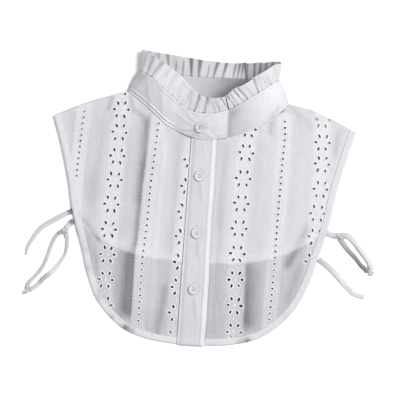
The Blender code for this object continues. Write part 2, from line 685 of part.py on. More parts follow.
def make_ties():
    for name, route in TIE_ROUTES.items():
        smooth = catmull_rom(route, CURVE_STEPS)
        count = max(2, round(lengths_along(smooth)[-1] / TIE_POINT_SPACING))
        points = spread(smooth, count)
        curve = bpy.data.curves.new(name, "CURVE")
        curve.dimensions = "3D"
        curve.twist_mode = "Z_UP"
        curve.extrude = (TIE_WIDTH - TIE_WALL) / 2.0 * MM
        curve.bevel_depth = TIE_WALL / 2.0 * MM
        curve.bevel_resolution = 2
        curve.use_fill_caps = True
        spline = curve.splines.new("POLY")
        spline.points.add(len(points) - 1)
        for point, place in zip(spline.points, points):
            point.co = (*(place * MM), 1.0)
            point.tilt = math.pi / 2.0
        finish(bpy.data.objects.new(name, curve), PLAIN_CLOTH)
    for name, (x, y, z, length, width, height, turn) in KNOTS.items():
        mesh = bpy.data.meshes.new(name)
        bm = bmesh.new()
        bmesh.ops.create_icosphere(bm, subdivisions=KNOT_SUBDIVISIONS, radius=MM)
        for vertex in bm.verts:
            vertex.co = Vector((vertex.co.x * length, vertex.co.y * width, vertex.co.z * height))
        bm.to_mesh(mesh)
        bm.free()
        obj = bpy.data.objects.new(name, mesh)
        obj.location = Vector((x, y, z)) * MM
        obj.rotation_euler.z = math.radians(turn)
        finish(obj, PLAIN_CLOTH)


for leftover in list(bpy.data.objects):
    bpy.data.objects.remove(leftover)
PIECES = bpy.data.collections.new("false_collar")
CUTTERS = bpy.data.collections.new("cutters")
bpy.context.scene.collection.children.link(PIECES)
bpy.context.scene.collection.children.link(CUTTERS)
EYELET_CLOTH = material("eyelet_cotton", (0.80, 0.81, 0.83), 0.9)
PLAIN_CLOTH = material("plain_cotton", (0.84, 0.85, 0.87), 0.88)
BUTTON_RESIN = material("button_resin", (0.85, 0.86, 0.87), 0.35)

make_back()
make_fronts()
make_placket()
make_band()
make_ruffle()
make_buttons()
make_ties()
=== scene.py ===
# %% [markdown]
# # A false collar of white eyelet cotton
#
# The object is a dickey: the collar and the chest of a blouse, worn under a jumper. It lies
# flat with its front up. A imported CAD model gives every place, and this notebook dresses it in
# thin cloth, embroidery, stitching and tape.
#
# Tables are in millimetres, with X to the viewer's right, Y towards the collar and Z up.
# Meshes are made in metres, by the factor `MM`.

import math

import bpy
import numpy as np
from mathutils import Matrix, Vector
from mathutils.geometry import delaunay_2d_cdt


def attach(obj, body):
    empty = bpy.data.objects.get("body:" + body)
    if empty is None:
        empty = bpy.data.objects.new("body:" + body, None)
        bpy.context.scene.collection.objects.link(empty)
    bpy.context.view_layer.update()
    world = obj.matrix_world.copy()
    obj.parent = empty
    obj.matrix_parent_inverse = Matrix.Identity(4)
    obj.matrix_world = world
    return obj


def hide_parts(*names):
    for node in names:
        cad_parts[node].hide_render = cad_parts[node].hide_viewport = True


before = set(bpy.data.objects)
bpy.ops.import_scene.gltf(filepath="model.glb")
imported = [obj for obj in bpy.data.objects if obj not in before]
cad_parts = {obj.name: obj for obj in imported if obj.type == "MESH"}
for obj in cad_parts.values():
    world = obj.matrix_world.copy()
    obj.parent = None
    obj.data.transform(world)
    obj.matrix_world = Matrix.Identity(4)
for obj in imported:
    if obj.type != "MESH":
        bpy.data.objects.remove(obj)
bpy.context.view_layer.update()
MM = 0.001

# %% [markdown]
# ## Camera, floor and light
#
# The garment was photographed from straight above, turned 3.3 degrees on its table. A long
# lens far away keeps the raised collar at its true size. One large soft light comes from the
# upper right, where the photo's bright sides are, and a pale world fills the shadows.

# %% Camera
VIEW_WIDTH = 420.0
CAMERA_HEIGHT = 3.0
TURN = math.radians(3.3)
SENSOR = 36.0


def new_object(name, data):
    made = bpy.data.objects.new(name, data)
    bpy.context.scene.collection.objects.link(made)
    return made


camera = new_object("camera", bpy.data.cameras.new("camera"))
camera.location = (-0.00064, -0.00018, CAMERA_HEIGHT)
camera.rotation_euler = (0.0, 0.0, TURN)
camera.data.sensor_width = SENSOR
camera.data.lens = SENSOR * CAMERA_HEIGHT / (VIEW_WIDTH * MM)
bpy.context.scene.camera = camera
print("lens", round(camera.data.lens, 1), "mm at", CAMERA_HEIGHT, "m")

# %% Floor and lights
def put(tree, socket, value):
    """A socket gets a link from another node's output, or a value of its own."""
    if isinstance(value, bpy.types.NodeSocket):
        tree.links.new(value, socket)
    else:
        socket.default_value = value


def feed(tree, node, **values):
    """Sockets by their names, with _ for a space."""
    for name, value in values.items():
        put(tree, node.inputs[name.replace("_", " ")], value)


def new_material(name):
    made = bpy.data.materials.new(name)
    made.use_nodes = True
    return made, made.node_tree, made.node_tree.nodes["Principled BSDF"]


def area_light(name, place, size, power, colour):
    lamp = bpy.data.lights.new(name, "AREA")
    lamp.size, lamp.energy, lamp.color = size, power, colour
    holder = new_object(name, lamp)
    holder.location = place
    holder.rotation_euler = Vector(place).to_track_quat("Z", "Y").to_euler()


floor_mesh = bpy.data.meshes.new("floor")
floor_mesh.from_pydata([(-2, -2, 0), (2, -2, 0), (2, 2, 0), (-2, 2, 0)], [], [(0, 1, 2, 3)])
floor = new_object("floor", floor_mesh)
paper, tree, shader = new_material("white_paper")
feed(tree, shader, Base_Color=(0.97, 0.97, 0.975, 1.0), Roughness=0.8)
floor.data.materials.append(paper)

area_light("key", (1.12, 0.7, 2.1), 1.2, 66.0, (1.0, 0.985, 0.98))
area_light("fill", (-1.1, -0.7, 1.5), 1.4, 10.0, (0.97, 0.97, 1.0))
world = bpy.data.worlds.new("studio")
world.use_nodes = True
feed(world.node_tree, world.node_tree.nodes["Background"], Color=(0.95, 0.95, 1.0, 1.0), Strength=0.33)
bpy.context.scene.world = world
bpy.context.scene.view_settings.view_transform = "Standard"

# %% [markdown]
# ## The cut, as tables
#
# Every outline is a short table of places and a smooth curve through them. The tables are the
# same as in the part's source, so each piece of cloth lies just where its solid does.

# %% Outline, back hem and collar stations
BINDING_WIDTH = 7.0
BACK_INSET = 2.0
PLACKET_LEFT_X = -16.5
PLACKET_RIGHT_X = 12.0
PLACKET_STEP_X = -10.0
PLACKET_LEAN = 2.9
FRONT_RIGHT_EDGE_X = -8.5
BACK_HEM_CORNER_GAP = 3.0
# Each side is written as if on the right: 1 is the right side and -1 the left one
SIDES = (1, -1)
SHOULDER = [(109.5, 101.2), (134.0, 91.6), (158.8, 79.8)]
ARMHOLE_AND_HEM = {
    1: [(158.8, 79.8), (150.4, 50.5), (142.0, 16.8), (136.2, -17.0), (127.3, -50.5), (117.4, -84.2),
        (102.0, -113.5), (74.0, -139.0), (40.0, -150.0), (0.0, -153.0)],
    -1: [(158.8, 79.8), (149.4, 50.5), (140.6, 16.8), (134.0, -17.0), (124.0, -50.5), (114.4, -84.2),
         (101.0, -113.5), (73.5, -139.0), (40.0, -150.0), (0.0, -153.0)],
}
BACK_HEM = {
    1: [(133.8, -19.0), (127.0, -27.5), (115.0, -38.5), (84.0, -55.0), (45.0, -63.5), (0.0, -66.0)],
    -1: [(131.6, -19.0), (125.2, -27.5), (113.6, -39.5), (84.0, -55.0), (45.0, -63.5), (0.0, -66.0)],
}
# Neck seam x, y, z, ruffle seam x, y, z, free edge x, y, z, all round from the centre front
COLLAR_STATIONS = [
    (0, 63, 6.6, 0, 90.3, 18, 0, 106, 29), (20, 66.3, 6.4, 19.5, 94, 18.6, 16, 108, 30.5),
    (38, 71.8, 6, 35, 102.4, 19.2, 28, 116.4, 31), (55, 79.8, 5.6, 50, 112.4, 19.4, 42, 125.2, 31),
    (70, 90.2, 5.2, 62, 120.8, 17.6, 55.5, 135, 28.5), (81, 99.4, 4.4, 71, 127.4, 13.6, 68, 144.6, 21.5),
    (86, 105.6, 2.6, 74.6, 130, 7.6, 76.8, 148, 12.8), (80, 105.6, 1, 70, 129.8, 2.4, 71.5, 149.2, 6.2),
    (62, 102.6, 0.8, 52, 129.5, 0.8, 52.5, 147.2, 3.4), (31, 100.2, 0.8, 27, 129.2, 0.8, 26, 145.6, 3.2),
    (0, 99.4, 0.8, 0, 129, 0.8, 0, 146.4, 3.2), (-31, 100.4, 0.8, -27, 129.4, 0.8, -26, 148.6, 3.2),
    (-62, 103.4, 0.8, -52, 129.8, 0.8, -50, 151.2, 3.4),
    (-77, 107.4, 1, -67.5, 130.4, 2.4, -66, 153.2, 6.2),
    (-82.4, 109.8, 2.6, -71.5, 131, 7.8, -70.5, 153.6, 12),
    (-78, 106.8, 4.2, -67.5, 129.6, 14, -62.5, 150.2, 18.5),
    (-68, 100.2, 5.2, -59.5, 125.2, 18.5, -50.5, 143.4, 23.5),
    (-56, 90.6, 5.8, -49.5, 117.3, 20.5, -38, 135, 25.5),
    (-40, 77.2, 6.2, -35, 105.2, 20, -24.5, 124.5, 26.5),
    (-20, 67.6, 6.4, -18.5, 93.6, 18.8, -13, 112.5, 28.5),
]
RIGHT_FOLD_STATION = 6
LEFT_FOLD_STATION = 14
STEPS_PER_STATION = 12
print(len(COLLAR_STATIONS), "stations round the collar")

# %% [markdown]
# ## Helpers for curves
#
# `numpy` works on a whole list of places at once, so a cloth of ten thousand points is
# shaped in a moment. Catmull-Rom curves run through every table row.

# %% Curve helpers
def smoothstep(low, high, value):
    share = np.clip((np.asarray(value, float) - low) / (high - low), 0.0, 1.0)
    return share * share * (3.0 - 2.0 * share)


def plateau(value, rise_from, full_from, full_to, gone_at):
    """1 along one stretch and 0 outside it, with a soft slope at each end."""
    return smoothstep(rise_from, full_from, value) * (1.0 - smoothstep(full_to, gone_at, value))


def soft_ends(share, run_out, full_from):
    """Fades a line out past both of its ends. share is 0 at its start and 1 at its end."""
    return smoothstep(-run_out, full_from, share) * smoothstep(-run_out, full_from, 1.0 - share)


def ripple(along, pitch, wander, drift, phase=0.0):
    """Small waves whose pitch wanders, so that they never look even."""
    return np.sin(along / pitch + phase + wander * np.sin(along / drift))


def unit(vectors):
    return vectors / np.linalg.norm(vectors, axis=-1, keepdims=True)


def smooth_curve(rows, steps):
    points = np.array(rows, float)
    points = np.vstack([2 * points[0] - points[1], points, 2 * points[-1] - points[-2]])
    t = (np.arange(steps) / steps)[:, None]
    parts = []
    for before, start, end, after in zip(points, points[1:], points[2:], points[3:]):
        parts.append(0.5 * (
            2 * start + (end - before) * t + (2 * before - 5 * start + 4 * end - after) * t ** 2
            + (3 * start - before - 3 * end + after) * t ** 3
        ))
    return np.vstack(parts + [points[-2:-1]])


def lengths_along(points):
    return np.concatenate([[0.0], np.cumsum(np.linalg.norm(np.diff(points, axis=0), axis=1))])


def points_at(points, distances):
    lengths = lengths_along(points)
    return np.stack([np.interp(distances, lengths, column) for column in points.T], axis=-1)


def spread(points, count):
    """The line again, as count + 1 points at equal distances."""
    return points_at(points, np.linspace(0.0, lengths_along(points)[-1], count + 1))


def moved_inward(points, distance):
    """A line on the table, moved to its right-hand side."""
    run = unit(np.vstack([points[1:], points[-1:]]) - np.vstack([points[:1], points[:-1]]))
    return points + np.stack([run[:, 1], -run[:, 0]], axis=1) * distance


print("curve helpers ready")

# %% Helpers for outlines
def mirrored(points):
    return points * np.array([-1.0, 1.0])


def both_sides(half):
    """A line from the right end to the middle and on to the left end, from its two halves."""
    return np.vstack([half[1], mirrored(half[-1][:-1])[::-1]])


def cut_at_x(points, x):
    """A line that runs towards smaller x, ended where it meets this x."""
    last = int(np.argmax(points[:, 0] <= x)) if (points[:, 0] <= x).any() else len(points) - 1
    share = (points[last - 1, 0] - x) / (points[last - 1, 0] - points[last, 0])
    end = points[last - 1] + (points[last] - points[last - 1]) * min(share, 1.0)
    return np.vstack([points[:last], end])


def distance_to(line, places):
    """Distance from each place to a line, and how far along the line its nearest point is."""
    start, run = line[:-1], np.diff(line, axis=0)
    squares = (run ** 2).sum(axis=1)
    offset = places[:, None, :] - start[None]
    share = np.clip((offset * run).sum(axis=2) / squares, 0.0, 1.0)
    gap = np.linalg.norm(offset - share[..., None] * run, axis=2)
    nearest = gap.argmin(axis=1)
    row = np.arange(len(places))
    along = lengths_along(line)[nearest] + share[row, nearest] * np.sqrt(squares[nearest])
    return gap[row, nearest], along


def is_inside(outline, places):
    found = np.zeros(len(places), bool)
    for start, end in zip(outline, np.roll(outline, -1, axis=0)):
        if start[1] != end[1]:
            crosses = (start[1] > places[:, 1]) != (end[1] > places[:, 1])
            reach = start[0] + (places[:, 1] - start[1]) * (end[0] - start[0]) / (end[1] - start[1])
            found ^= crosses & (places[:, 0] < reach)
    return found


CURVE_STEPS = 8
shoulder_line = smooth_curve(SHOULDER, CURVE_STEPS)
edge_line = {side: smooth_curve(ARMHOLE_AND_HEM[side], CURVE_STEPS) for side in SIDES}
hem_line = {side: smooth_curve(BACK_HEM[side], CURVE_STEPS) for side in SIDES}
print("armhole and hem, right side:", round(float(lengths_along(edge_line[1])[-1])), "mm")

# %% [markdown]
# ## The collar's ring and the height of the front
#
# The collar is one closed ring of stations. The front cloth rests on the back, falls to the
# table below the back's hem, and rises to the neck seam. Soft folds are ridges from a table.

# %% Collar ring
WRAP = 2
stations = np.array(COLLAR_STATIONS)
ring = smooth_curve(np.vstack([stations[-WRAP:], stations, stations[:WRAP + 1]]), STEPS_PER_STATION)
ring = ring[WRAP * STEPS_PER_STATION:-WRAP * STEPS_PER_STATION]
ring_lengths = lengths_along(ring[:, 3:6])
RING_LENGTH = float(ring_lengths[-1])
right_fold = RIGHT_FOLD_STATION * STEPS_PER_STATION
left_fold = LEFT_FOLD_STATION * STEPS_PER_STATION
front_neck = spread(np.vstack([ring[left_fold:-1, :3], ring[:right_fold + 1, :3]]), 60)
front_neck_plan = front_neck[:, :2]
front_neck_lengths = lengths_along(front_neck_plan)
back_neck_plan = ring[right_fold:left_fold + 1, :2]
print("ruffle seam", round(RING_LENGTH), "mm round")

# %% Back outline and front rim
def back_edge(side):
    armhole = moved_inward(edge_line[side], BACK_INSET)
    armhole = armhole[armhole[:, 1] > BACK_HEM[side][0][1] + BACK_HEM_CORNER_GAP]
    return spread(np.vstack([armhole, hem_line[side]]), 44)


back_side = {side: back_edge(side) for side in SIDES}
back_outline = both_sides(back_side)
back_closed = np.vstack([back_outline, [(-170.0, 130.0), (170.0, 130.0)]])
front_rim = both_sides({side: np.vstack([shoulder_line[:-1], edge_line[side]]) for side in SIDES})

FRONT_ON_FLOOR, FRONT_ON_BACK, FRONT_ON_BACK_BINDING = 1.0, 2.2, 2.9
LOFT_OVER_FLOOR, LOFT_OVER_BACK = 3.6, 1.6
LOFT_FROM, LOFT_TO = 5.0, 34.0
BACK_EDGE_REACH, BACK_EDGE_FALL = 6.0, 18.0
NECK_LIFT_REACH = 26.0
print("back hem, right side:", round(float(lengths_along(hem_line[1])[-1])), "mm")

# %% Folds of the front, large ones first: from x, y to x, y, half width, height
LARGE_FOLDS = [
    (-66, -48, -71, -132, 5.5, 2.2), (-47, -62, -46, -142, 5, 1.2), (52, -58, 56, -142, 6, 2.4),
    (66, -40, 70, -130, 5, 1.1), (88, 62, 86, -40, 7, 1.3), (-39, 64, -36, -36, 8, 1.2),
    (27, 52, 26, -104, 7, 1.3), (104, 70, 99, -34, 8, 1.1), (-108, 66, -112, -72, 8, 1.4),
    (-88, 102, -97, 78, 4, 1.6), (-78, 96, -82, 70, 4, 1.1), (80, 98, 84, 74, 4.5, 1.6),
    (95, 100, 104, 80, 4, 1.1), (-96, -92, -86, -118, 4.5, 1.3),
]


def ridges(table, places, run_out=0.25, full_from=0.3):
    """Soft ridges, each along its own line, that fade out past both ends."""
    total = np.zeros(len(places))
    for x0, y0, x1, y1, half_width, height in table:
        start, run = np.array([x0, y0]), np.array([x1 - x0, y1 - y0])
        share = (places - start) @ run / (run @ run)
        across = np.linalg.norm(places - start - share[:, None] * run, axis=1)
        total += height * soft_ends(share, run_out, full_from) * np.exp(-(across / half_width) ** 2)
    return total


def front_height(places):
    """Height of the middle of the front cloth, with its large folds."""
    places = np.asarray(places, float)
    to_edge = distance_to(back_outline, places)[0]
    over_back = is_inside(back_closed, places)
    binding_step = 1.0 - smoothstep(BINDING_WIDTH, 2.0 * BINDING_WIDTH, to_edge)
    on_back = FRONT_ON_BACK + (FRONT_ON_BACK_BINDING - FRONT_ON_BACK) * binding_step
    off = np.where(over_back, 0.0, smoothstep(BACK_EDGE_REACH, BACK_EDGE_REACH + BACK_EDGE_FALL, to_edge))
    height = np.where(over_back, on_back,
                      FRONT_ON_BACK_BINDING + (FRONT_ON_FLOOR - FRONT_ON_BACK_BINDING) * off)
    loft = LOFT_OVER_BACK + (LOFT_OVER_FLOOR - LOFT_OVER_BACK) * off
    height = height + loft * smoothstep(LOFT_FROM, LOFT_TO, distance_to(front_rim, places)[0])
    to_neck, along = distance_to(front_neck_plan, places)
    neck_height = np.interp(along, front_neck_lengths, front_neck[:, 2])
    near_neck = (1.0 - np.minimum(to_neck / NECK_LIFT_REACH, 1.0)) ** 2
    height = height + ridges(LARGE_FOLDS, places) * (1.0 - near_neck)
    return height + (neck_height - height) * near_neck


print("height of the chest's middle:", round(float(front_height([(-60.0, 0.0)])[0]), 2), "mm")

# %% [markdown]
# ## Materials
#
# Three things make cotton look like cotton: a fine plain weave, small soft dents, and a tone
# that drifts a little. Each is a node group here, so that every cloth can have its own amount.
# Threads get a fourth group, the wrap of one fine strand beside the next.

# %% Helpers that make nodes
def node_group(name, inputs, output):
    """A shader node group with sockets (name, kind, value) in and one socket (name, kind) out."""
    tree = bpy.data.node_groups.new(name, "ShaderNodeTree")
    for socket, kind, value in inputs:
        made = tree.interface.new_socket(socket, in_out="INPUT", socket_type="NodeSocket" + kind)
        if value is not None:
            made.default_value = value
    tree.interface.new_socket(output[0], in_out="OUTPUT", socket_type="NodeSocket" + output[1])
    return tree, tree.nodes.new("NodeGroupInput").outputs, tree.nodes.new("NodeGroupOutput")


def math_node(tree, operation, *values):
    """One Math node. Each value is a number or another node's output."""
    node = tree.nodes.new("ShaderNodeMath")
    node.operation = operation
    for socket, value in zip(node.inputs, values):
        put(tree, socket, value)
    return node.outputs[0]


def noise_node(tree, place, scale, detail):
    node = tree.nodes.new("ShaderNodeTexNoise")
    feed(tree, node, Vector=place, Scale=scale, Detail=detail)
    return node.outputs[0]


def close_group(tree, result, value):
    """Joins a value to the group's output."""
    tree.links.new(value, result.inputs[0])
    print("made group", tree.name)

# %% Plain weave group
tree, given, result = node_group(
    "plain weave", [("Place", "Vector", None), ("Threads per metre", "Float", 2600.0)], ("Height", "Float"))
scaled = tree.nodes.new("ShaderNodeVectorMath")
scaled.operation = "SCALE"
tree.links.new(given["Place"], scaled.inputs[0])
tree.links.new(given["Threads per metre"], scaled.inputs["Scale"])
apart = tree.nodes.new("ShaderNodeSeparateXYZ")
tree.links.new(scaled.outputs[0], apart.inputs[0])
waves = [math_node(tree, "SINE", math_node(tree, "MULTIPLY", axis, math.pi)) for axis in apart.outputs]
pairs = [math_node(tree, "MULTIPLY", waves[i], waves[(i + 1) % 3]) for i in range(3)]
both = math_node(tree, "ADD", math_node(tree, "ADD", pairs[0], pairs[1]), pairs[2])
close_group(tree, result, math_node(tree, "MULTIPLY_ADD", both, 0.5, 0.5))

# %% Soft dents group
tree, given, result = node_group(
    "soft dents", [("Place", "Vector", None), ("Dents per metre", "Float", 55.0)], ("Height", "Float"))
noises = []
for factor, detail in ((1.0, 2.0), (4.0, 3.0)):
    scale = math_node(tree, "MULTIPLY", given["Dents per metre"], factor)
    noises.append(noise_node(tree, given["Place"], scale, detail))
close_group(tree, result, math_node(tree, "MULTIPLY_ADD", noises[1], 0.3, noises[0]))

# %% Cloth tone group
tree, given, result = node_group(
    "cloth tone and painted shade",
    [("Place", "Vector", None), ("Light", "Color", (0.8, 0.8, 0.8, 1.0)),
     ("Shade", "Color", (0.6, 0.6, 0.6, 1.0)), ("Deep", "Color", (0.3, 0.3, 0.3, 1.0)),
     ("Thin", "Float", 0.0)],
    ("Colour", "Color"))
cloud = noise_node(tree, given["Place"], 22.0, 3.0)
stretch = tree.nodes.new("ShaderNodeMapping")
feed(tree, stretch, Scale=(900.0, 60.0, 300.0), Vector=given["Place"])
slub = noise_node(tree, stretch.outputs[0], 1.0, 2.0)
drift = math_node(tree, "MULTIPLY_ADD", cloud, 0.34, -0.17)
drift = math_node(tree, "MULTIPLY_ADD", math_node(tree, "SUBTRACT", slub, 0.5), 0.5, drift)
# the group's last input is painted shade and tone: below 0 painted light, above 1 deep painted shade; the
# drift is a random change of tone
share = math_node(tree, "ADD", given["Thin"], drift)
colour = given["Light"]
for step, name in enumerate(("Shade", "Deep")):
    mix = tree.nodes.new("ShaderNodeMix")
    mix.data_type = "RGBA"
    # a share below 0 makes the first mix brighter than Light
    mix.clamp_factor = step > 0
    factor = math_node(tree, "SUBTRACT", share, float(step))
    tree.links.new(math_node(tree, "MINIMUM", factor, 1.0), mix.inputs[0])
    tree.links.new(colour, mix.inputs[6])
    tree.links.new(given[name], mix.inputs[7])
    colour = mix.outputs[2]
close_group(tree, result, colour)

# %% Thread wrap group
tree, given, result = node_group(
    "thread wrap", [("Run", "Float", 0.0), ("Pitch", "Float", 0.4)], ("Height", "Float"))
turns = math_node(tree, "DIVIDE", given["Run"], given["Pitch"])
wave = math_node(tree, "SINE", math_node(tree, "MULTIPLY", turns, 2.0 * math.pi))
close_group(tree, result, math_node(tree, "MULTIPLY_ADD", wave, 0.5, 0.5))

# %% [markdown]
# ## Cloth, thread and resin
#
# The Principled shader stays in the material itself. Colours that change over the surface come
# from the groups, and values that are the same everywhere sit on the shader's own sockets. A
# vertex attribute carries painted shade and tone: painted shade where one layer lies alone, in
# folds, hollows and under edges, painted light on some folds and sides, and the real lighter
# tone where thread fills the weave.

# %% Materials for cloth and thread
def placed_group(tree, name, **values):
    node = tree.nodes.new("ShaderNodeGroup")
    node.node_tree = bpy.data.node_groups[name]
    feed(tree, node, **values)
    return node.outputs[0]


def stacked_bumps(tree, layers):
    """Bump nodes one on another. Each layer is a height output and its depth in metres."""
    last = None
    for height, depth in layers:
        bump = tree.nodes.new("ShaderNodeBump")
        feed(tree, bump, Distance=depth, Height=height)
        if last is not None:
            feed(tree, bump, Normal=last)
        last = bump.outputs[0]
    return last


def attribute(tree, name):
    node = tree.nodes.new("ShaderNodeAttribute")
    node.attribute_name = name
    return node.outputs["Fac"]


def cotton(name, tones, dents, weave_depth, dent_depth, threads=2600.0, run_pitch=None):
    """A cotton material. run_pitch adds the wrap of thread, in millimetres along the piece."""
    made, tree, shader = new_material(name)
    place = tree.nodes.new("ShaderNodeTexCoord").outputs["Object"]
    tone = placed_group(tree, "cloth tone and painted shade", Place=place, Light=tones[0], Shade=tones[1], Deep=tones[2],
                        Thin=attribute(tree, "painted_shade_and_tone"))
    layers = [(placed_group(tree, "soft dents", Place=place, Dents_per_metre=dents), dent_depth)]
    if run_pitch:
        wrap = placed_group(tree, "thread wrap", Run=attribute(tree, "run"), Pitch=run_pitch)
        layers.append((wrap, weave_depth))
    else:
        weave = placed_group(tree, "plain weave", Place=place, Threads_per_metre=threads)
        layers.append((weave, weave_depth))
    feed(tree, shader, Base_Color=tone, Normal=stacked_bumps(tree, layers), Roughness=0.85,
         Specular_IOR_Level=0.25, Sheen_Weight=0.2, Sheen_Roughness=0.45)
    return made


# Each is an own colour, a painted shade and a deep painted shade, mixed by the cloth's tone group with a
# random drift; the thread's deep one is near black, for the insides of holes
CLOTH_TONES = [(0.60, 0.597, 0.618, 1.0), (0.45, 0.447, 0.464, 1.0), (0.20, 0.199, 0.21, 1.0)]
THREAD_TONES = [(0.78, 0.777, 0.795, 1.0), (0.40, 0.40, 0.415, 1.0), (0.025, 0.025, 0.025, 1.0)]
eyelet_cotton = cotton("eyelet_cotton_cloth", CLOTH_TONES, 55.0, 0.00005, 0.0013)
plain_cotton = cotton("plain_cotton_cloth", CLOTH_TONES, 70.0, 0.00005, 0.0008)
tape_cotton = cotton("tape_cotton_cloth", CLOTH_TONES, 120.0, 0.00006, 0.0003, threads=3000.0)
thread = cotton("white_embroidery_thread", THREAD_TONES, 200.0, 0.00012, 0.0001, run_pitch=0.38)
print("cloth materials:", [m.name for m in (eyelet_cotton, plain_cotton, tape_cotton, thread)])

# %% Resin for the buttons
resin, tree, shader = new_material("white_button_resin")
place = tree.nodes.new("ShaderNodeTexCoord").outputs["Object"]
tone = placed_group(tree, "cloth tone and painted shade", Place=place, Light=(0.62, 0.62, 0.635, 1.0),
                    Shade=(0.50, 0.50, 0.515, 1.0), Deep=(0.5, 0.5, 0.5, 1.0), Thin=0.25)
polish = placed_group(tree, "soft dents", Place=place, Dents_per_metre=420.0)
feed(tree, shader, Base_Color=tone, Normal=stacked_bumps(tree, [(polish, 0.00006)]), Roughness=0.34,
     Coat_Weight=0.3, Coat_Roughness=0.15)
buttons = [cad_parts[f"button_{number}"] for number in range(1, 5)]
for button in buttons:
    button.data.materials[0] = resin
print("resin on", len(buttons), "buttons")

# %% [markdown]
# ## Making meshes
#
# Two helpers make nearly every piece. `grid_faces` joins rows of places into a sheet, which
# Solidify then gives a thickness. `swept` runs a section along a line, for tape, thread, rims
# and bindings. It also notes how far along the line each face is, as `run`, for the thread.

# %% Mesh helpers
CLOTH_WALL = 0.45
UP = np.array([0.0, 0.0, 1.0])


def grid_faces(rows, columns, around=False, closed=False):
    """Faces of a grid numbered row by row. around joins the last column to the first one, and
    closed the last row to the first."""
    faces = []
    for row in range(rows if closed else rows - 1):
        here, there = row * columns, (row + 1) % rows * columns
        for column in range(columns if around else columns - 1):
            after = (column + 1) % columns
            faces.append((here + column, here + after, there + after, there + column))
    return faces


def make_piece(name, points, faces, material, replaces=(), wall=None, painted_shade_and_tone=0.0,
               run=None):
    """A piece of the garment from places in millimetres, which rides on the root body."""
    mesh = bpy.data.meshes.new(name)
    mesh.from_pydata((np.asarray(points, float) * MM).tolist(), [], faces)
    mesh.update()
    mesh.shade_smooth()
    mesh.materials.append(material)
    # painted shade and tone for each point, which the cloth's tone group reads
    painted_shade_and_tone = np.broadcast_to(painted_shade_and_tone, len(points)).astype(np.float32)
    mesh.attributes.new("painted_shade_and_tone", "FLOAT", "POINT").data.foreach_set("value", painted_shade_and_tone)
    if run is not None:
        mesh.attributes.new("run", "FLOAT", "CORNER").data.foreach_set("value", np.asarray(run, np.float32))
    piece = new_object(name, mesh)
    if wall:
        solidify = piece.modifiers.new("Cloth wall", "SOLIDIFY")
        solidify.thickness = wall * MM
        solidify.offset = 0.0
        solidify.use_even_offset = False
    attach(piece, "root")
    if replaces:
        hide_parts(*replaces)
    print(name, len(faces), "faces")
    return piece


def swept(path, section, closed=False):
    """A round section of (aside, up) places run along a path. Gives points and faces."""
    path = np.asarray(path, float)
    section = np.broadcast_to(section, (len(path),) + np.shape(section)[-2:])
    if closed:
        ahead = unit(np.roll(path, -1, axis=0) - np.roll(path, 1, axis=0))
    else:
        ahead = unit(np.vstack([path[1:], path[-1:]]) - np.vstack([path[:1], path[:-1]]))
    side = unit(np.cross(ahead, UP))
    above = np.cross(side, ahead)
    points = path[:, None] + side[:, None] * section[..., :1] + above[:, None] * section[..., 1:]
    rows, columns = len(path), section.shape[1]
    faces = grid_faces(rows, columns, around=True, closed=closed)
    if not closed:
        faces += [tuple(range(columns - 1, -1, -1)), tuple(range((rows - 1) * columns, rows * columns))]
    return points.reshape(-1, 3), faces


def ellipse(half_width, half_height, count):
    angles = 2.0 * np.pi * np.arange(count) / count
    return np.stack([half_width * np.cos(angles), half_height * np.sin(angles)], axis=1)


print("helpers ready")

# %% Stitches and rims, many at a time
STITCH_SIDES, STITCH_STEPS, STITCH_SHADE = 6, 4, 1.1
SEWN_LENGTH, SEWN_GAP = 2.2, 0.7


def copies_of(faces, copies, points_each):
    return [tuple(index + copy * points_each for index in face) for copy in range(copies) for face in faces]


def stitches(name, paths, widths, rise, sunk=0.0):
    """Many small stitches as one object. paths is copies x steps x 3, widths one value or one for
    each copy."""
    copies, steps = paths.shape[:2]
    share = np.linspace(-1.0, 1.0, steps)
    swell = np.sqrt(1.06 - share ** 2)[:, None]
    angle = 2.0 * np.pi * np.arange(STITCH_SIDES) / STITCH_SIDES
    side = unit(np.cross(paths[:, -1] - paths[:, 0], UP))[:, None, None]
    aside = np.reshape(widths, (-1, 1, 1)) * swell * np.cos(angle)
    upward = np.broadcast_to(rise * swell * np.sin(angle) - sunk, aside.shape)
    points = paths[:, :, None] + aside[..., None] * side + upward[..., None] * UP
    faces = grid_faces(steps, STITCH_SIDES, around=True)
    each_run = [share[row + corner // 2] for row in range(steps - 1) for _ in range(STITCH_SIDES)
                for corner in range(4)]
    ends = steps * STITCH_SIDES
    faces += [tuple(range(STITCH_SIDES - 1, -1, -1)), tuple(range(ends - STITCH_SIDES, ends))]
    each_run += [-1.0] * STITCH_SIDES + [1.0] * STITCH_SIDES
    half_lengths = np.linalg.norm(paths[:, -1] - paths[:, 0], axis=1) / 2.0
    run = np.outer(half_lengths, each_run).ravel()
    # painted shade on the lower side of each stitch
    below = np.where(np.sin(angle) < 0.3, STITCH_SHADE, 0.0)
    return make_piece(name, points.reshape(-1, 3), copies_of(faces, copies, ends), thread,
                      painted_shade_and_tone=np.tile(below, copies * steps), run=run)


def dashes(line, length, gap):
    """A line of the garment cut into stitches, as copies x steps x 3."""
    total = lengths_along(line)[-1]
    starts = np.arange(gap, total - length, length + gap)
    return points_at(line, starts[:, None] + np.linspace(0.0, length, STITCH_STEPS))


def sewn(name, lines, width, rise, sunk=0.0):
    """Machine stitches along some seams."""
    paths = np.vstack([dashes(line, SEWN_LENGTH, SEWN_GAP) for line in lines])
    return stitches(name, paths, width, rise, sunk)


print("helpers for thread ready")

# %% [markdown]
# ## Tape ties
#
# Four flat tapes, 5.6 mm wide, hang at the sides. One on each side is a doubled tape, knotted
# beside the cloth and again at its end. Each is a flat section swept along its route. A tape
# rolls a little as it lies, so its width turns slowly about the route.

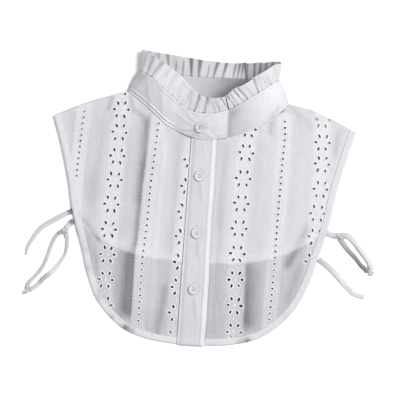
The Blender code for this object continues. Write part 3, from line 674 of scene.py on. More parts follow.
# %% Routes of the tapes, from the garment outwards
TAPE_WIDTH, TAPE_WALL = 5.6, 0.7
TAPE_SPACING = 1.5
TAPES = {
    "tape_left_back": [
        (-132.4, -18.6, 0.62), (-142.5, -23.9, 0.62), (-150.6, -28.8, 0.62), (-158.6, -33.8, 0.62),
        (-166.0, -39.6, 0.62), (-173.0, -49.5, 0.62), (-178.4, -59.5, 0.62), (-180.0, -68.4, 0.62),
    ],
    "tape_left_outer": [
        (-132.2, -29.4, 2.4), (-134.8, -32.4, 2.2), (-139.8, -38.6, 2.4), (-143.8, -41.6, 1.9),
        (-149.0, -46.4, 0.62), (-152.8, -55.0, 0.62), (-156.0, -66.0, 0.62),
        (-160.2, -77.5, 0.62), (-166.6, -87.4, 0.62), (-174.4, -96.2, 0.62), (-176.6, -102.8, 1.9),
    ],
    "tape_left_inner": [
        (-139.2, -41.6, 2.1), (-138.0, -46.2, 1.4), (-137.4, -50.5, 0.62), (-138.6, -64.0, 0.62),
        (-144.6, -75.2, 0.62), (-151.8, -84.6, 0.62), (-159.8, -91.4, 0.62), (-165.6, -98.8, 0.62),
        (-173.6, -104.6, 1.8),
    ],
    "tape_right_upper": [
        (132.4, -26.4, 0.8), (138.4, -28.4, 0.9), (144.1, -29.3, 2.3), (149.0, -29.0, 2.4),
        (153.2, -28.3, 1.9), (159.4, -30.6, 0.62), (166.4, -37.4, 0.62), (173.8, -46.4, 0.62),
        (180.0, -54.0, 0.62), (183.6, -62.8, 1.9),
    ],
    "tape_right_lower": [
        (148.8, -31.4, 2.1), (151.4, -35.6, 1.5), (157.0, -43.2, 0.62), (165.8, -51.8, 0.62),
        (171.8, -58.8, 0.62), (179.6, -65.0, 1.8),
    ],
    "tape_right_front": [
        (127.4, -55.2, 1.0), (132.4, -58.6, 0.7), (139.6, -63.8, 0.62), (149.7, -72.9, 0.62),
        (159.6, -83.6, 0.62), (166.6, -89.6, 0.62), (176.7, -92.0, 0.62),
    ],
}
# CAD nodes that each tape stands for, and its far end
TAPE_FACTS = {
    "tape_left_back": (["tie_left_back"], "bare"),
    "tape_left_outer": (["tie_left_root", "tie_left_outer"], "knot"),
    "tape_left_inner": (["tie_left_inner"], "knot"),
    "tape_right_upper": (["tie_right_root", "tie_right_upper"], "knot"),
    "tape_right_lower": (["tie_right_lower"], "knot"),
    "tape_right_front": (["tie_right_front"], "bare"),
}
# share of the length, roll in degrees, share of the full width, painted shade, which paints light below 0
TAPE_LIES = {
    "tape_left_back": [
        (0, 0, 1, 2.2), (0.075, 0, 1, 2), (0.11, 2, 1, 0.45), (0.3, 8, 1, 0.5), (0.5, 14, 0.95, 0.4),
        (0.75, -6, 0.8, 0.35), (0.92, -10, 0.6, 0.5), (1, 4, 0.3, 0.7)],
    "tape_left_outer": [
        (0, 0, 1, 2.2), (0.035, 0, 1, 2), (0.07, 4, 1, 0.2), (0.15, 8, 0.9, 0.3), (0.22, 20, 0.8, 1.5),
        (0.28, 30, 0.75, 0.8), (0.5, 48, 0.7, 0.5), (0.65, 40, 0.7, 0.8), (0.85, 12, 0.7, 0.5),
        (1, 30, 0.8, 1)],
    "tape_left_inner": [
        (0, 25, 0.8, 1), (0.15, -20, 0.8, 0.3), (0.3, -38, 0.7, 0.5), (0.36, -30, 0.75, -0.2),
        (0.6, -12, 1, -0.35), (0.68, -8, 0.95, 0.9), (0.8, -12, 0.9, 1.3), (0.88, -20, 0.9, 0.2),
        (1, -25, 0.9, 0.5)],
    "tape_right_upper": [
        (0, 0, 1, 0.1), (0.13, 4, 1, 0.2), (0.2, 6, 1, 1.2), (0.28, 10, 1, 1), (0.42, 15, 1, 0.3),
        (0.6, 42, 0.95, 0.1), (0.85, 30, 0.9, 0), (1, 20, 0.9, 0.4)],
    "tape_right_lower": [
        (0, 30, 0.9, 1.2), (0.15, 0, 0.95, 1.2), (0.4, -25, 0.95, 1.5), (0.7, -35, 0.9, 1.8),
        (1, -10, 0.9, 1.9)],
    "tape_right_front": [
        (0, 0, 1, 1), (0.12, 4, 1, 0.8), (0.35, 14, 1, 0.4), (0.5, 22, 1, 0), (0.75, -24, 1, -0.3),
        (0.9, -8, 0.9, 0), (1, 0, 0.85, 0.3)],
}
print(len(TAPES), "tapes")

# %% Knots
# Half width of a knot's tape, and how far its loops stay below the knot's top
KNOT_WIDE, KNOT_HIGH = 1.15, 0.8
# x, y, z of the middle, half length, half width, half height, turn in degrees, the knot's node
KNOTS = {
    "knot_by_left_side": (-139.8, -39.6, 2.6, 4.2, 3.4, 2.2, 55.0, "knot_left"),
    "knot_at_left_end": (-176.9, -105.6, 2.3, 4.4, 3.0, 2.0, 45.0, "knot_left_end"),
    "knot_by_right_side": (148.6, -29.4, 2.6, 4.3, 3.5, 2.2, 10.0, "knot_right"),
    "knot_at_right_end": (182.8, -66.0, 2.3, 4.2, 3.0, 2.0, -40.0, "knot_right_end"),
}


def spun(points, turn):
    """Places turned about Z, by an angle in degrees."""
    cosine, sine = math.cos(math.radians(turn)), math.sin(math.radians(turn))
    return points @ np.array([[cosine, -sine, 0.0], [sine, cosine, 0.0], [0.0, 0.0, 1.0]]).T


def knot(name, x, y, z, length, width, height, turn, node):
    """An overhand knot pulled tight: one flattened tape along a small trefoil."""
    angle = np.linspace(0.0, 2.0 * np.pi, 60, endpoint=False)
    across, up_and_down = np.sin(angle) + 2.0 * np.sin(2.0 * angle), -np.sin(3.0 * angle)
    along = np.cos(angle) - 2.0 * np.cos(2.0 * angle)
    path = np.stack([along * (length - KNOT_WIDE) / 3.0, across * (width - KNOT_WIDE) / 3.0,
                     up_and_down * (height - KNOT_HIGH)], axis=1)
    points, faces = swept(spun(path, turn) + (x, y, z), ellipse(KNOT_WIDE, 0.75, 10), closed=True)
    return make_piece(name, points, faces, tape_cotton, [node], painted_shade_and_tone=0.3)


knots = {name: knot(name, *facts) for name, facts in KNOTS.items()}

# %% Tapes
# Section of a tape, as shares of its half width and half wall. Its top dips between the edges
TAPE_SECTION = [
    (-1, -0.6), (-0.8, -1), (0.8, -1), (1, -0.6), (1, 0.6), (0.8, 1), (0.3, 0.8), (-0.3, 0.8), (-0.8, 1),
    (-1, 0.6),
]


def tape(name):
    nodes, far_end = TAPE_FACTS[name]
    line = smooth_curve(TAPES[name], 12)
    line = spread(line, round(lengths_along(line)[-1] / TAPE_SPACING))
    share = np.linspace(0.0, 1.0, len(line))
    stops, rolls, widths, tones = np.array(TAPE_LIES[name]).T
    roll, width, tone = [np.interp(share, stops, row) for row in (np.radians(rolls), widths, tones)]
    aside, thick = TAPE_WIDTH / 2.0, TAPE_WALL / 2.0
    flat = np.array(TAPE_SECTION) * (aside, thick)
    cosine, sine = np.cos(roll)[:, None], np.sin(roll)[:, None]
    across = flat[:, 0] * width[:, None]
    section = np.stack([across * cosine - flat[:, 1] * sine, across * sine + flat[:, 1] * cosine], axis=2)
    # a rolled tape still rests on its lower edge
    low = section[..., 1].min(axis=1)
    line[:, 2] = np.maximum(line[:, 2], 0.1 - low)
    points, faces = swept(line, section)
    # painted shade: one edge of each tape is a little darker than the other
    shade = tone[:, None] + 0.35 * flat[:, 0] / aside
    piece = make_piece(name, points, faces, tape_cotton, nodes, painted_shade_and_tone=shade.ravel())
    return piece, line, far_end


for name in TAPES:
    piece, line, far_end = tape(name)

# %% [markdown]
# ## Where the eyelets go
#
# The cloth is woven in stripes. Four stripes carry flowers, each six oval holes round a padded
# middle, and three carry ladders of small round holes. Each stripe follows its own leaning
# line, and each motif sits at its own height on it.

# %% Stripes of flowers and ladders
# Each flower stripe is the middles of its flowers, from the top down
FLOWER_STRIPES = [
    [(-88.5, 89.6), (-89.0, 65.9), (-89.9, 40.7), (-91.5, 15.6), (-93.4, -9.9), (-94.3, -36.4),
     (-94.4, -62.7), (-94.9, -89.2), (-94.7, -115.6)],
    [(-11.5, 68.6), (-12.1, 41.0), (-13.5, 13.3), (-15.3, -13.3), (-16.3, -39.6), (-16.7, -66.6),
     (-17.6, -92.5), (-18.8, -120.2), (-19.7, -147.0)],
    [(46.2, 76.8), (44.6, 52.1), (43.2, 24.9), (42.6, -1.3), (41.9, -27.7), (41.4, -54.2),
     (41.4, -81.4), (41.8, -108.8), (42.6, -136.3)],
    [(123.0, 91.2), (124.2, 67.1), (124.8, 44.4), (124.8, 18.1), (123.2, -7.3), (122.5, -31.9),
     (121.3, -58.2)],
]
# Each ladder is the line it follows, its first and last height, and the pitch of its holes
LADDER_STRIPES = [
    ([(-127.2, 85.4), (-129.7, 50.4), (-131.5, 17.8)], 85.4, 17.0, 6.15),
    ([(-48.5, 79.0), (-50.6, 50.0), (-53.5, 10.5), (-54.8, -29.0), (-57.5, -65.0), (-57.9, -131.0)],
     77.3, -131.0, 6.7),
    ([(83.4, 88.0), (84.5, 74.0), (82.8, 22.5), (81.7, -22.5), (81.2, -62.0), (79.1, -122.0)],
     86.9, -122.0, 6.5),
]
# Holes of one flower: place from its middle, half size along and across, turn in degrees
FLOWER_HOLES = [
    (7.1, 0, 1.75, 1.35, 0), (-7.1, 0, 1.75, 1.35, 0), (4.1, 6.7, 2, 1.25, 66),
    (-3.6, 6.7, 2, 1.25, 112), (3.6, -6.8, 2, 1.25, -68), (-4.1, -6.7, 2, 1.25, -112),
]
# The hole beside the left shoulder, with its turn in radians, and one hole of a ladder
LONE_HOLE = (-85.6, 106.2, 1.5, 1.2, 1.2)
LADDER_HOLE = (1.1, 1.05)
# How far a ladder's thread runs on above its first hole
STRIPE_HEAD = 9.0
chance = np.random.default_rng(11)


def stripe_x(line, y):
    table = np.array(line)[::-1]
    return np.interp(y, table[:, 1], table[:, 0])


def flower_shapes(shapes, jitter):
    """One set of shapes for each flower, no two quite alike: x, y, half length, half width, turn."""
    rows = []
    for middle in np.vstack(FLOWER_STRIPES):
        for dx, dy, long, wide, turn in shapes:
            size = 1.0 + 0.08 * chance.standard_normal()
            x, y = middle + (dx, dy) + jitter * chance.standard_normal(2)
            rows.append((x, y, long * size, wide * size, math.radians(turn + 6.0 * chance.standard_normal())))
    return rows


def eyelets():
    """Every hole of the front, as rows of x, y, half length, half width and turn."""
    rows = [LONE_HOLE] + flower_shapes(FLOWER_HOLES, 0.25)
    for line, top, bottom, pitch in LADDER_STRIPES:
        for y in np.arange(top, bottom, -pitch):
            size = 1.0 + 0.07 * chance.standard_normal()
            rows.append((stripe_x(line, y), y, LADDER_HOLE[0] * size, LADDER_HOLE[1] * size, 0.0))
    return np.array(rows)


holes = eyelets()
print(len(holes), "holes on the front")

# %% Hole helpers
HOLE_SIDES, HOLE_MARGIN = 14, 0.3


def kept_inside(places, outline, margin):
    """Which places lie inside an outline and further than a margin from it."""
    closed = np.vstack([outline, outline[:1]])
    return is_inside(outline, places) & (distance_to(closed, places)[0] > margin)


def rings_of(rows, grow, count):
    """Rings round holes, grown by a width. Gives copies x count x 2 places."""
    x, y, long, wide, turn = np.atleast_2d(rows).T[..., None]
    angle = 2.0 * np.pi * np.arange(count) / count
    along, across = (long + grow) * np.cos(angle), (wide + grow) * np.sin(angle)
    return np.stack([x + along * np.cos(turn) - across * np.sin(turn),
                     y + along * np.sin(turn) + across * np.cos(turn)], axis=-1)


def fitting(rows, outline):
    """Which holes lie wholly inside an outline."""
    edges = rings_of(rows, HOLE_MARGIN, HOLE_SIDES)
    return is_inside(outline, edges.reshape(-1, 2)).reshape(len(rows), HOLE_SIDES).all(axis=1)


def in_hole(hole, places, grow=0.0):
    x, y, long, wide, turn = hole
    dx, dy = places[:, 0] - x, places[:, 1] - y
    along = dx * math.cos(turn) + dy * math.sin(turn)
    across = dy * math.cos(turn) - dx * math.sin(turn)
    return (along / (long + grow)) ** 2 + (across / (wide + grow)) ** 2 < 1.0


print("a flower's hole is", 2.0 * FLOWER_HOLES[2][2], "by", 2.0 * FLOWER_HOLES[2][3], "mm")

# %% [markdown]
# ## Cutting a panel with real holes
#
# An eyelet is a real hole, so the panel is filled with triangles round all its holes. A
# constrained Delaunay triangulation keeps every edge that it is given, here the outline and
# a ring for each hole, and joins loose points between them.

# %% Triangulated panel
PANEL_GRID = 2.1
# How far from a hole's middle its loose points and its triangles can lie, and the smallest
# triangle that is kept, in square millimetres
NEAR_POINTS, NEAR_TRIANGLES, SLIVER = 6.0, 4.0, 0.01


def corner_areas(corners):
    """Areas of triangles, from their three corners on the table."""
    first, second = corners[:, 1] - corners[:, 0], corners[:, 2] - corners[:, 0]
    return 0.5 * np.abs(first[:, 0] * second[:, 1] - first[:, 1] * second[:, 0])


def cut_panel(outline, panel_holes):
    """Points on the table and triangles of a panel, with its holes left open."""
    closed = np.vstack([outline, outline[:1]])
    outline = spread(closed, round(lengths_along(closed)[-1] / PANEL_GRID))[:-1]
    low, high = outline.min(axis=0), outline.max(axis=0)
    columns = np.arange(low[0], high[0], PANEL_GRID)
    loose = np.vstack([
        np.stack([columns + PANEL_GRID / 2.0 * (number % 2), np.full(len(columns), y)], axis=1)
        for number, y in enumerate(np.arange(low[1], high[1], PANEL_GRID * 0.87))
    ])
    loose = loose[kept_inside(loose, outline, 0.6 * PANEL_GRID)]
    for hole in panel_holes:
        near = np.abs(loose - hole[:2]).max(axis=1) < NEAR_POINTS
        near[near] = in_hole(hole, loose[near], 0.55 * PANEL_GRID)
        loose = loose[~near]
    places, edges = [outline], [(i, (i + 1) % len(outline)) for i in range(len(outline))]
    count = len(outline)
    for ring_places in rings_of(panel_holes, 0.0, HOLE_SIDES):
        places.append(ring_places)
        edges += [(count + i, count + (i + 1) % HOLE_SIDES) for i in range(HOLE_SIDES)]
        count += HOLE_SIDES
    places = np.vstack(places + [loose])
    made = delaunay_2d_cdt([Vector(p) for p in places.tolist()], edges, [], 0, 1e-6)
    points = np.array([tuple(p) for p in made[0]])
    triangles = np.array(made[2])
    middles = points[triangles].mean(axis=1)
    keep = is_inside(outline, middles) & (corner_areas(points[triangles]) > SLIVER)
    for hole in panel_holes:
        near = np.abs(middles - hole[:2]).max(axis=1) < NEAR_TRIANGLES
        near[near] = in_hole(hole, middles[near])
        keep &= ~near
    return points, [tuple(t) for t in triangles[keep].tolist()]


print("panels are filled with triangles of", PANEL_GRID, "mm")

# %% [markdown]
# ## Small folds
#
# Thin cotton keeps small folds from the way it was worn and put away. Each is a ridge or, with
# a height below 0, a groove. The sewn edge also draws the cloth up into fine puckers.

# %% Small folds of the front: from x, y to x, y, half width, height
SMALL_FOLDS = [
    (-92, 104, -104, 84, 1.8, 0.6), (-84, 101, -90, 84, 1.6, 0.5), (-80, 108, -78, 96, 1.3, 0.8),
    (-76.5, 103, -73, 92, 1.3, 0.6), (-99.5, 105, -103.5, 88, 1.6, -0.8), (-85, 94, -65, 84, 2.4, -0.7),
    (-72, 96, -74, 76, 1.8, 0.4), (-50, 78, -47, 58, 2, 0.35), (-42.5, 70, -42.5, 8, 2.6, 0.8),
    (-44, 8, -46, -52, 3.4, 0.8), (-61.5, 78, -63.4, -7, 3, -1.1), (-63.4, -7, -64.4, -52, 2.8, -1),
    (-26.5, 62, -28.5, -60, 4.5, -0.5), (-32.5, -88, -38.5, -146, 3.4, -1.2),
    (-68, -50, -67, -132, 3, -1.6), (-84, -58, -83, -126, 2.6, 0.6), (-124, -27, -101, -53, 1.6, -0.9),
    (-104, -60, -98, -104, 2.4, 0.6), (-110, -84, -98, -110, 2, 0.6), (-100, -104, -84, -128, 2, 0.6),
    (-84, -118, -66, -138, 1.9, 0.5), (-108, 84, -112, 20, 3.4, -0.6), (-116, 74, -120, 10, 2.4, 0.5),
    (-104, 40, -108, -30, 2.2, 0.4), (-138, 76, -134, 24, 2.4, 0.4), (-75, 60, -77, 0, 2.4, 0.4),
    (70, 88, 68.5, 70, 1.5, -1), (74, 92, 74.5, 70, 1.8, 0.6), (81, 100, 76, 92, 1.4, -0.9),
    (86, 103, 112, 81, 2.6, -0.6), (89, 98, 94, 80, 1.7, 0.5), (99, 102, 112, 88, 1.8, 0.45),
    (139, 82, 137, 54, 2.2, -0.7), (134, 70, 132, 20, 2, 0.4), (60, 84, 58, 64, 2, 0.35),
    (34, 66, 32, 40, 2.2, 0.35), (24, 64, 20, 30, 2.2, -0.5), (29, 60, 27, 10, 2, 0.4),
    (53, -60, 54, -136, 2.2, -1.6), (62, -64, 62, -134, 2.4, 0.5), (115, -18, 94, -66, 2.6, -0.9),
    (104, -70, 88, -118, 2.4, 0.6), (114, -56, 103, -88, 2, -0.6), (88, -30, 90, -100, 2.4, 0.5),
    (62, 50, 61, -20, 3, 0.5), (98, 40, 98, -20, 2.6, 0.4), (113, 60, 111, 0, 2.6, 0.45),
    (20, -20, 19, -80, 2.4, -0.5), (26, 10, 27, -60, 2.4, 0.5), (22, -96, 23, -146, 2.2, 0.45),
    (31, -70, 31, -144, 2.2, -0.4), (-30, -66, -27, -110, 2, 0.6),
]
PUCKER_REACH, PUCKER_HEIGHT = 11.0, 0.32


def worn_height(places):
    """The front cloth's middle with its small folds and the puckers along its bound edge."""
    places = np.asarray(places, float)
    height = front_height(places) + ridges(SMALL_FOLDS, places)
    to_rim, along = distance_to(front_rim, places)
    wave = ripple(along, 2.6, 1.3, 17.0) * np.sin(along / 11.0 + 0.6)
    near_rim = (1.0 - smoothstep(2.0, PUCKER_REACH, to_rim)) * smoothstep(0.0, 3.0, to_rim)
    return height + PUCKER_HEIGHT * wave * near_rim


print(len(SMALL_FOLDS), "small folds")

# %% [markdown]
# ## Where the cloth looks grey
#
# Thin white cotton is never one white. Shade is painted into it here: greyer where one layer
# lies alone and where a fold keeps the light out, with painted light along the back's hem and
# on some folds. It is also brighter where thread fills the weave. Each vertex gets one number
# for that, which the cloth's tone group reads.

# %% Shades of the front
# Painted fold shadows of the front; an amount below 0 paints light
# From x, y to x, y, half width to its left and to its right as seen in the photo, amount
SHADES = [
    (-66.3, -56, -65.9, -126, 13, 1, 1.3), (51, -62, 52.5, -132, 0.9, 9.5, 0.85),
    (-60.6, 84, -61.4, 38, 7.5, 3.8, 1.3), (-61.4, 38, -63.4, -7, 7, 3.4, 1.55),
    (-63.2, -7, -64.8, -56, 5.5, 2.8, 1.4), (-51, 60, -58.2, -40, 4, 3.5, 1),
    (-26.5, 62, -28.8, -60, 5, 4, 0.45), (-32, -92, -38, -143, 5, 3.6, 0.5),
    (-124, -26.5, -100, -53, 1, 5, 0.75), (115, -20, 93.6, -66, 4.5, 4.5, 0.8),
    (-108, 80, -112, -8, 9, 9, 0.4), (-85, 94, -65, 84, 3, 3, 0.7), (-99.3, 103, -103, 88, 3, 3, 0.7),
    (-79.6, 105, -77.4, 95, 1.3, 1.3, 1), (-86, 101, -91, 88, 1.6, 1.6, 0.5),
    (70.2, 86, 69, 72, 3, 1, 0.8), (82, 100.5, 75.5, 93.5, 1.8, 1.8, 1.5),
    (87, 103.5, 112, 81, 4.5, 4.5, 0.45), (139.5, 80, 137, 54, 3.2, 3.2, 0.5),
    (20.5, 62, 19, -30, 2, 7, 0.35), (60, 66, 60, 20, 6, 5, 0.2), (-76, 70, -78, -40, 6, 8, 0.25),
    (21, -66, 22, -146, 3, 9, 0.12), (108, -62, 96, -104, 4, 4, 0.35),
    (-104.5, -62, -92, -122, 6, 4, 0.2), (62, -70, 60, -132, 6, 8, 0.25),
    (-42.5, 66, -45.5, -50, 5, 5, -0.4), (-45.5, -50, -48, -140, 5, 5, -0.35),
    (-118, 78, -122, 10, 5, 3, -0.15), (75, 60, 72, -50, 3, 3, -0.15), (-137, 84, -134, 40, 7, 5, 0.35),
    (126, 96, 108, 104, 7, 5, 0.25),
]
# How much brighter the stripes are, the painted light along the back's hem, and the tone of two layers; where
# one layer lies alone it gets painted shade
STRIPE_LIGHT, HEM_LIGHT, TWO_LAYERS = 0.42, 0.2, 0.36
SHADE_FADE, BRIGHTEST = 0.12, -0.5


def shades(places):
    total = np.zeros(len(places))
    for x0, y0, x1, y1, left_width, right_width, amount in SHADES:
        start, run = np.array([x0, y0]), np.array([x1 - x0, y1 - y0])
        share = (places - start) @ run / (run @ run)
        offset = ((places - start) @ np.array([-run[1], run[0]])) / np.linalg.norm(run)
        width = np.where(offset > 0.0, right_width, left_width)
        total += amount * soft_ends(share, SHADE_FADE, SHADE_FADE) * np.exp(-(offset / width) ** 2)
    return total


def worked_share(places):
    """1 in the stripes of thread, 0 on the plain cloth between them."""
    worked = np.zeros(len(places))
    for line, top, _, _ in LADDER_STRIPES:
        offset = np.abs(places[:, 0] - stripe_x(line, places[:, 1]))
        worked = np.maximum(worked, (1.0 - smoothstep(7.0, 8.0, offset)) * (places[:, 1] < top + STRIPE_HEAD))
    for middles in FLOWER_STRIPES:
        offset = np.abs(places[:, 0] - stripe_x(middles, places[:, 1]))
        worked = np.maximum(worked, 1.0 - smoothstep(6.0, 11.0, offset))
    return worked


def front_shade_and_tone(places):
    """Painted shade and tone of the front: low where the back lies behind it, 1 where one layer lies alone,
    more in painted fold shadows, and lower in the stripes of thread.
    """
    to_edge = distance_to(back_outline, places)[0]
    over = is_inside(back_closed, places)
    hem_light = (1.0 - smoothstep(BINDING_WIDTH, BINDING_WIDTH + 1.5, to_edge)) * over
    painted_shade_and_tone = np.where(over, TWO_LAYERS - HEM_LIGHT * hem_light,
                    TWO_LAYERS + (1.0 - TWO_LAYERS) * smoothstep(-0.4, 1.2, to_edge))
    worked = worked_share(places)
    return np.maximum(painted_shade_and_tone + shades(places) * (1.0 - 0.7 * worked) - STRIPE_LIGHT * worked, BRIGHTEST)


print(len(SHADES), "shades")

# %% Front panels
UNDER_BINDING = 1.2
FRONT_LEFT_TOP_X, FRONT_LEFT_FOOT_X = 13.95, 16.85


def front_outline(side, top_x, foot_x):
    """Plan of one front panel. Its inner edge runs from top_x to foot_x, as if on the right."""
    neck = front_neck_plan if side > 0 else mirrored(front_neck_plan)[::-1]
    near = neck[neck[:, 0] > top_x - 20.0]
    start = [(top_x, np.interp(top_x, near[:, 0], near[:, 1]))]
    hem = cut_at_x(moved_inward(edge_line[side], UNDER_BINDING), foot_x)
    corner = shoulder_line[shoulder_line[:, 0] < hem[0, 0] - 1.0]
    outline = np.vstack([start, neck[neck[:, 0] > top_x + 1.0], corner, hem])
    return outline if side > 0 else mirrored(outline)


def laid_panel(name, node, outline, panel_holes, height_at, tone_at):
    """A panel with open holes, laid at a height."""
    plan, triangles = cut_panel(outline, panel_holes)
    points = np.column_stack([plan, height_at(plan)])
    piece = make_piece(name, points, triangles, eyelet_cotton, [node],
                       wall=CLOTH_WALL, painted_shade_and_tone=tone_at(plan))


panel_outlines = {"right": front_outline(1, FRONT_RIGHT_EDGE_X, FRONT_RIGHT_EDGE_X),
                  "left": front_outline(-1, FRONT_LEFT_TOP_X, FRONT_LEFT_FOOT_X)}
side_holes = {side: holes[fitting(holes, outline)] for side, outline in panel_outlines.items()}
for side, outline in panel_outlines.items():
    laid_panel(f"front_{side}_cloth", f"front_{side}", outline, side_holes[side], worn_height, front_shade_and_tone)
    print(len(side_holes[side]), "holes on the", side)

# %% [markdown]
# ## The back
#
# The back is the same cloth, flat on the table, and shorter than the front. It has the same
# stripes on its outside.

# %% Back panel
BACK_LEVEL = 0.5


def back_level(places):
    return BACK_LEVEL + 0.06 * np.sin(places[:, 0] / 9.0) * np.sin(places[:, 1] / 13.0)


def back_half(side):
    hem = moved_inward(back_side[side], UNDER_BINDING)
    return np.vstack([shoulder_line[shoulder_line[:, 0] < hem[0, 0] - 1.0], hem])


back_neck = back_neck_plan + (0.0, -0.35)
back_cut = np.vstack([back_neck[::-1], both_sides({side: back_half(side) for side in SIDES})])
back_holes = holes * (-1.0, 1.0, 1.0, 1.0, -1.0)
back_holes = back_holes[kept_inside(back_holes[:, :2], back_cut, 9.0)]
laid_panel("back_panel_cloth", "back_panel", back_cut, back_holes, back_level,
           lambda places: np.full(len(places), 0.5))

# %% [markdown]
# ## Overcast eyelets
#
# Thread is sewn over and over round the edge of each hole until it stands as a bright ring.
# Each ring is a small tube round its hole, and all rings of a panel are one object.

# %% Rims of the eyelets
RIM_WIDTH, RIM_HEIGHT, RIM_DEPTH, RIM_OUT = 0.85, 0.7, 2.2, 0.62
RIM_STEPS, RIM_SIDES, RIM_CLOSING = 16, 8, 0.9
# Middle radius for the wrap of the thread, and how near the floor a rim may come
RIM_RADIUS, RIM_LOWEST = 2.2, 0.12


def rims(name, panel_holes, height_at):
    """A worked rim round each hole. Its under edge narrows the hole where one layer lies alone."""
    alone = ~is_inside(back_closed, panel_holes[:, :2])[:, None]
    path = rings_of(panel_holes, RIM_OUT, RIM_STEPS)
    height = height_at(path.reshape(-1, 2)).reshape(path.shape[:2])
    angle = 2.0 * np.pi * np.arange(RIM_SIDES) / RIM_SIDES
    points = np.empty(path.shape[:2] + (RIM_SIDES, 3))
    for column, turn in enumerate(angle):
        narrowed = RIM_CLOSING * alone * (math.sin(turn) < -0.1) * (math.cos(turn) < -0.1)
        places = rings_of(panel_holes, RIM_OUT + RIM_WIDTH * math.cos(turn) - narrowed, RIM_STEPS)
        points[:, :, column, :2] = places
        rise = (RIM_HEIGHT if math.sin(turn) > 0.0 else RIM_DEPTH) * math.sin(turn)
        points[:, :, column, 2] = np.maximum(height + rise, RIM_LOWEST)
    faces = copies_of(grid_faces(RIM_STEPS, RIM_SIDES, True, True), len(panel_holes), RIM_STEPS * RIM_SIDES)
    step = 2.0 * math.pi * RIM_RADIUS / RIM_STEPS
    run = [step * (row + corner // 2)
           for row in range(RIM_STEPS) for _ in range(RIM_SIDES) for corner in range(4)]
    upper, inner = np.sin(angle) > -0.1, np.cos(angle) < -0.1
    # painted shade: near black on the inner side and the narrowed under edge, where the hole is in shade, and
    # a narrow grey outline at the foot outside and underneath
    tone = np.select([inner & ((np.cos(angle) < -0.9) | ~upper), np.cos(angle) > 0.9, ~upper],
                     [2.0, 0.9, 1.2], 0.0)
    return make_piece(name, points.reshape(-1, 3), faces, thread, run=np.tile(run, len(panel_holes)),
                      painted_shade_and_tone=np.tile(tone, len(panel_holes) * RIM_STEPS))


def clear_of_binding(places):
    return distance_to(front_rim, places)[0] > BINDING_WIDTH + 0.6


open_holes = {side: rows[clear_of_binding(rows[:, :2])] for side, rows in side_holes.items()}
rims("eyelet_rims_right", open_holes["right"], worn_height)
left = open_holes["left"]
placket_edge_x = PLACKET_LEFT_X + PLACKET_LEAN * (left[:, 1] + 153.0) / 216.0
rims("eyelet_rims_left", left[left[:, 0] < placket_edge_x + 0.3], worn_height)
rims("eyelet_rims_back", back_holes, back_level)

# %% [markdown]
# ## Satin leaves and stitched lines
#
# Between the holes the thread lies in satin stitch: long stitches side by side that fill a
# shape. Each flower has a padded middle and a leaf above and below it, and a scalloped line of
# small stitches down both sides. The ladders run between thin cords and dotted lines.

# %% Satin leaves
# Satin shapes of one flower: place from its middle, half length, half width, turn in degrees
SATIN = [
    (0, 0, 2.3, 1.7, 90), (0.6, 4.4, 1.7, 0.6, 82), (-0.5, -4.4, 1.7, 0.6, 98),
    (0.9, 11.2, 1.9, 0.75, 72), (-0.7, 14, 1.9, 0.75, 104), (2.7, 12.6, 1.3, 0.4, 60),
    (-2.5, 12.4, 1.3, 0.4, 120),
]
LEAF_MARGIN = 1.6


def shown(places, margin):
    """Which places of the front show, further than a margin from each panel's edge."""
    right = kept_inside(places, panel_outlines["right"], margin) & (places[:, 0] > PLACKET_RIGHT_X + 2.0)
    return (right | kept_inside(places, panel_outlines["left"], margin)) & clear_of_binding(places)


def lifted(plans, height_at):
    """Lines on the table, copies x steps x 2, lifted to a cloth."""
    return np.dstack([plans, height_at(plans.reshape(-1, 2)).reshape(plans.shape[:2])])


satin = np.array(flower_shapes(SATIN, 0.2))
half = np.stack([np.cos(satin[:, 4]), np.sin(satin[:, 4])], axis=1) * satin[:, 2:3]
leaf_plans = satin[:, None, :2] + np.linspace(-1.0, 1.0, 5)[None, :, None] * half[:, None]
seen = shown(leaf_plans.mean(axis=1), LEAF_MARGIN)
stitches("satin_leaves", lifted(leaf_plans[seen], worn_height), satin[seen, 3], rise=0.62)

# %% Scalloped lines and cords of the ladders
STITCH_LENGTH, STITCH_GAP = 1.5, 0.9
SCALLOP, SCALLOP_OUT, STRIPE_END = 1.7, 9.2, 12.0


def beside_ladders(offsets):
    lines = []
    for line, top, bottom, _ in LADDER_STRIPES:
        y = np.arange(top + STRIPE_HEAD, bottom - STRIPE_END, -1.0)
        lines += [np.column_stack([stripe_x(line, y) + offset, y]) for offset in offsets]
    return lines


def on_front(lines, length, gap):
    """Stitches along lines on the table, lifted to the front cloth."""
    plans = np.vstack([dashes(line, length, gap) for line in lines])
    return lifted(plans, worn_height)[shown(plans.mean(axis=1), 2.0)]


scallops = []
for middles in FLOWER_STRIPES:
    table = np.array(middles)
    y = np.arange(table[0, 1] + STRIPE_END, table[-1, 1] - STRIPE_END, -1.0)
    phase = np.interp(y, table[::-1, 1], np.arange(len(table))[::-1])
    swing = SCALLOP * np.cos(2.0 * np.pi * phase)
    for side in SIDES:
        scallops.append(np.column_stack([stripe_x(middles, y) + side * (SCALLOP_OUT + swing), y]))
small = on_front(scallops + beside_ladders((-6.1, -3.7, 3.7, 6.1)), STITCH_LENGTH, STITCH_GAP)
stitches("pattern_stitches", small, 0.36, rise=0.5)
stitches("ladder_cords", on_front(beside_ladders((-7.3, -4.9, 4.9, 7.3)), 5.0, 0.05), 0.38, rise=0.5)

# %% [markdown]
# ## Bound edges
#
# The armholes and hems are bound: a strip is folded round the edge and sewn through. The
# section below is that fold, from its underside round the edge and back on top.

# %% Bindings
BINDING_FOLD = [
    (6.6, -0.62), (4.6, -0.70), (2.2, -0.70), (0.6, -0.52), (0, 0), (0.35, 0.58), (1.3, 0.86),
    (2.8, 0.95), (4.4, 0.86), (5.2, 0.66), (5.7, 0.72), (6.6, 0.74), (7, 0.45),
]
STITCH_LINE_INSET, LOWEST_BINDING = 5.35, 0.28
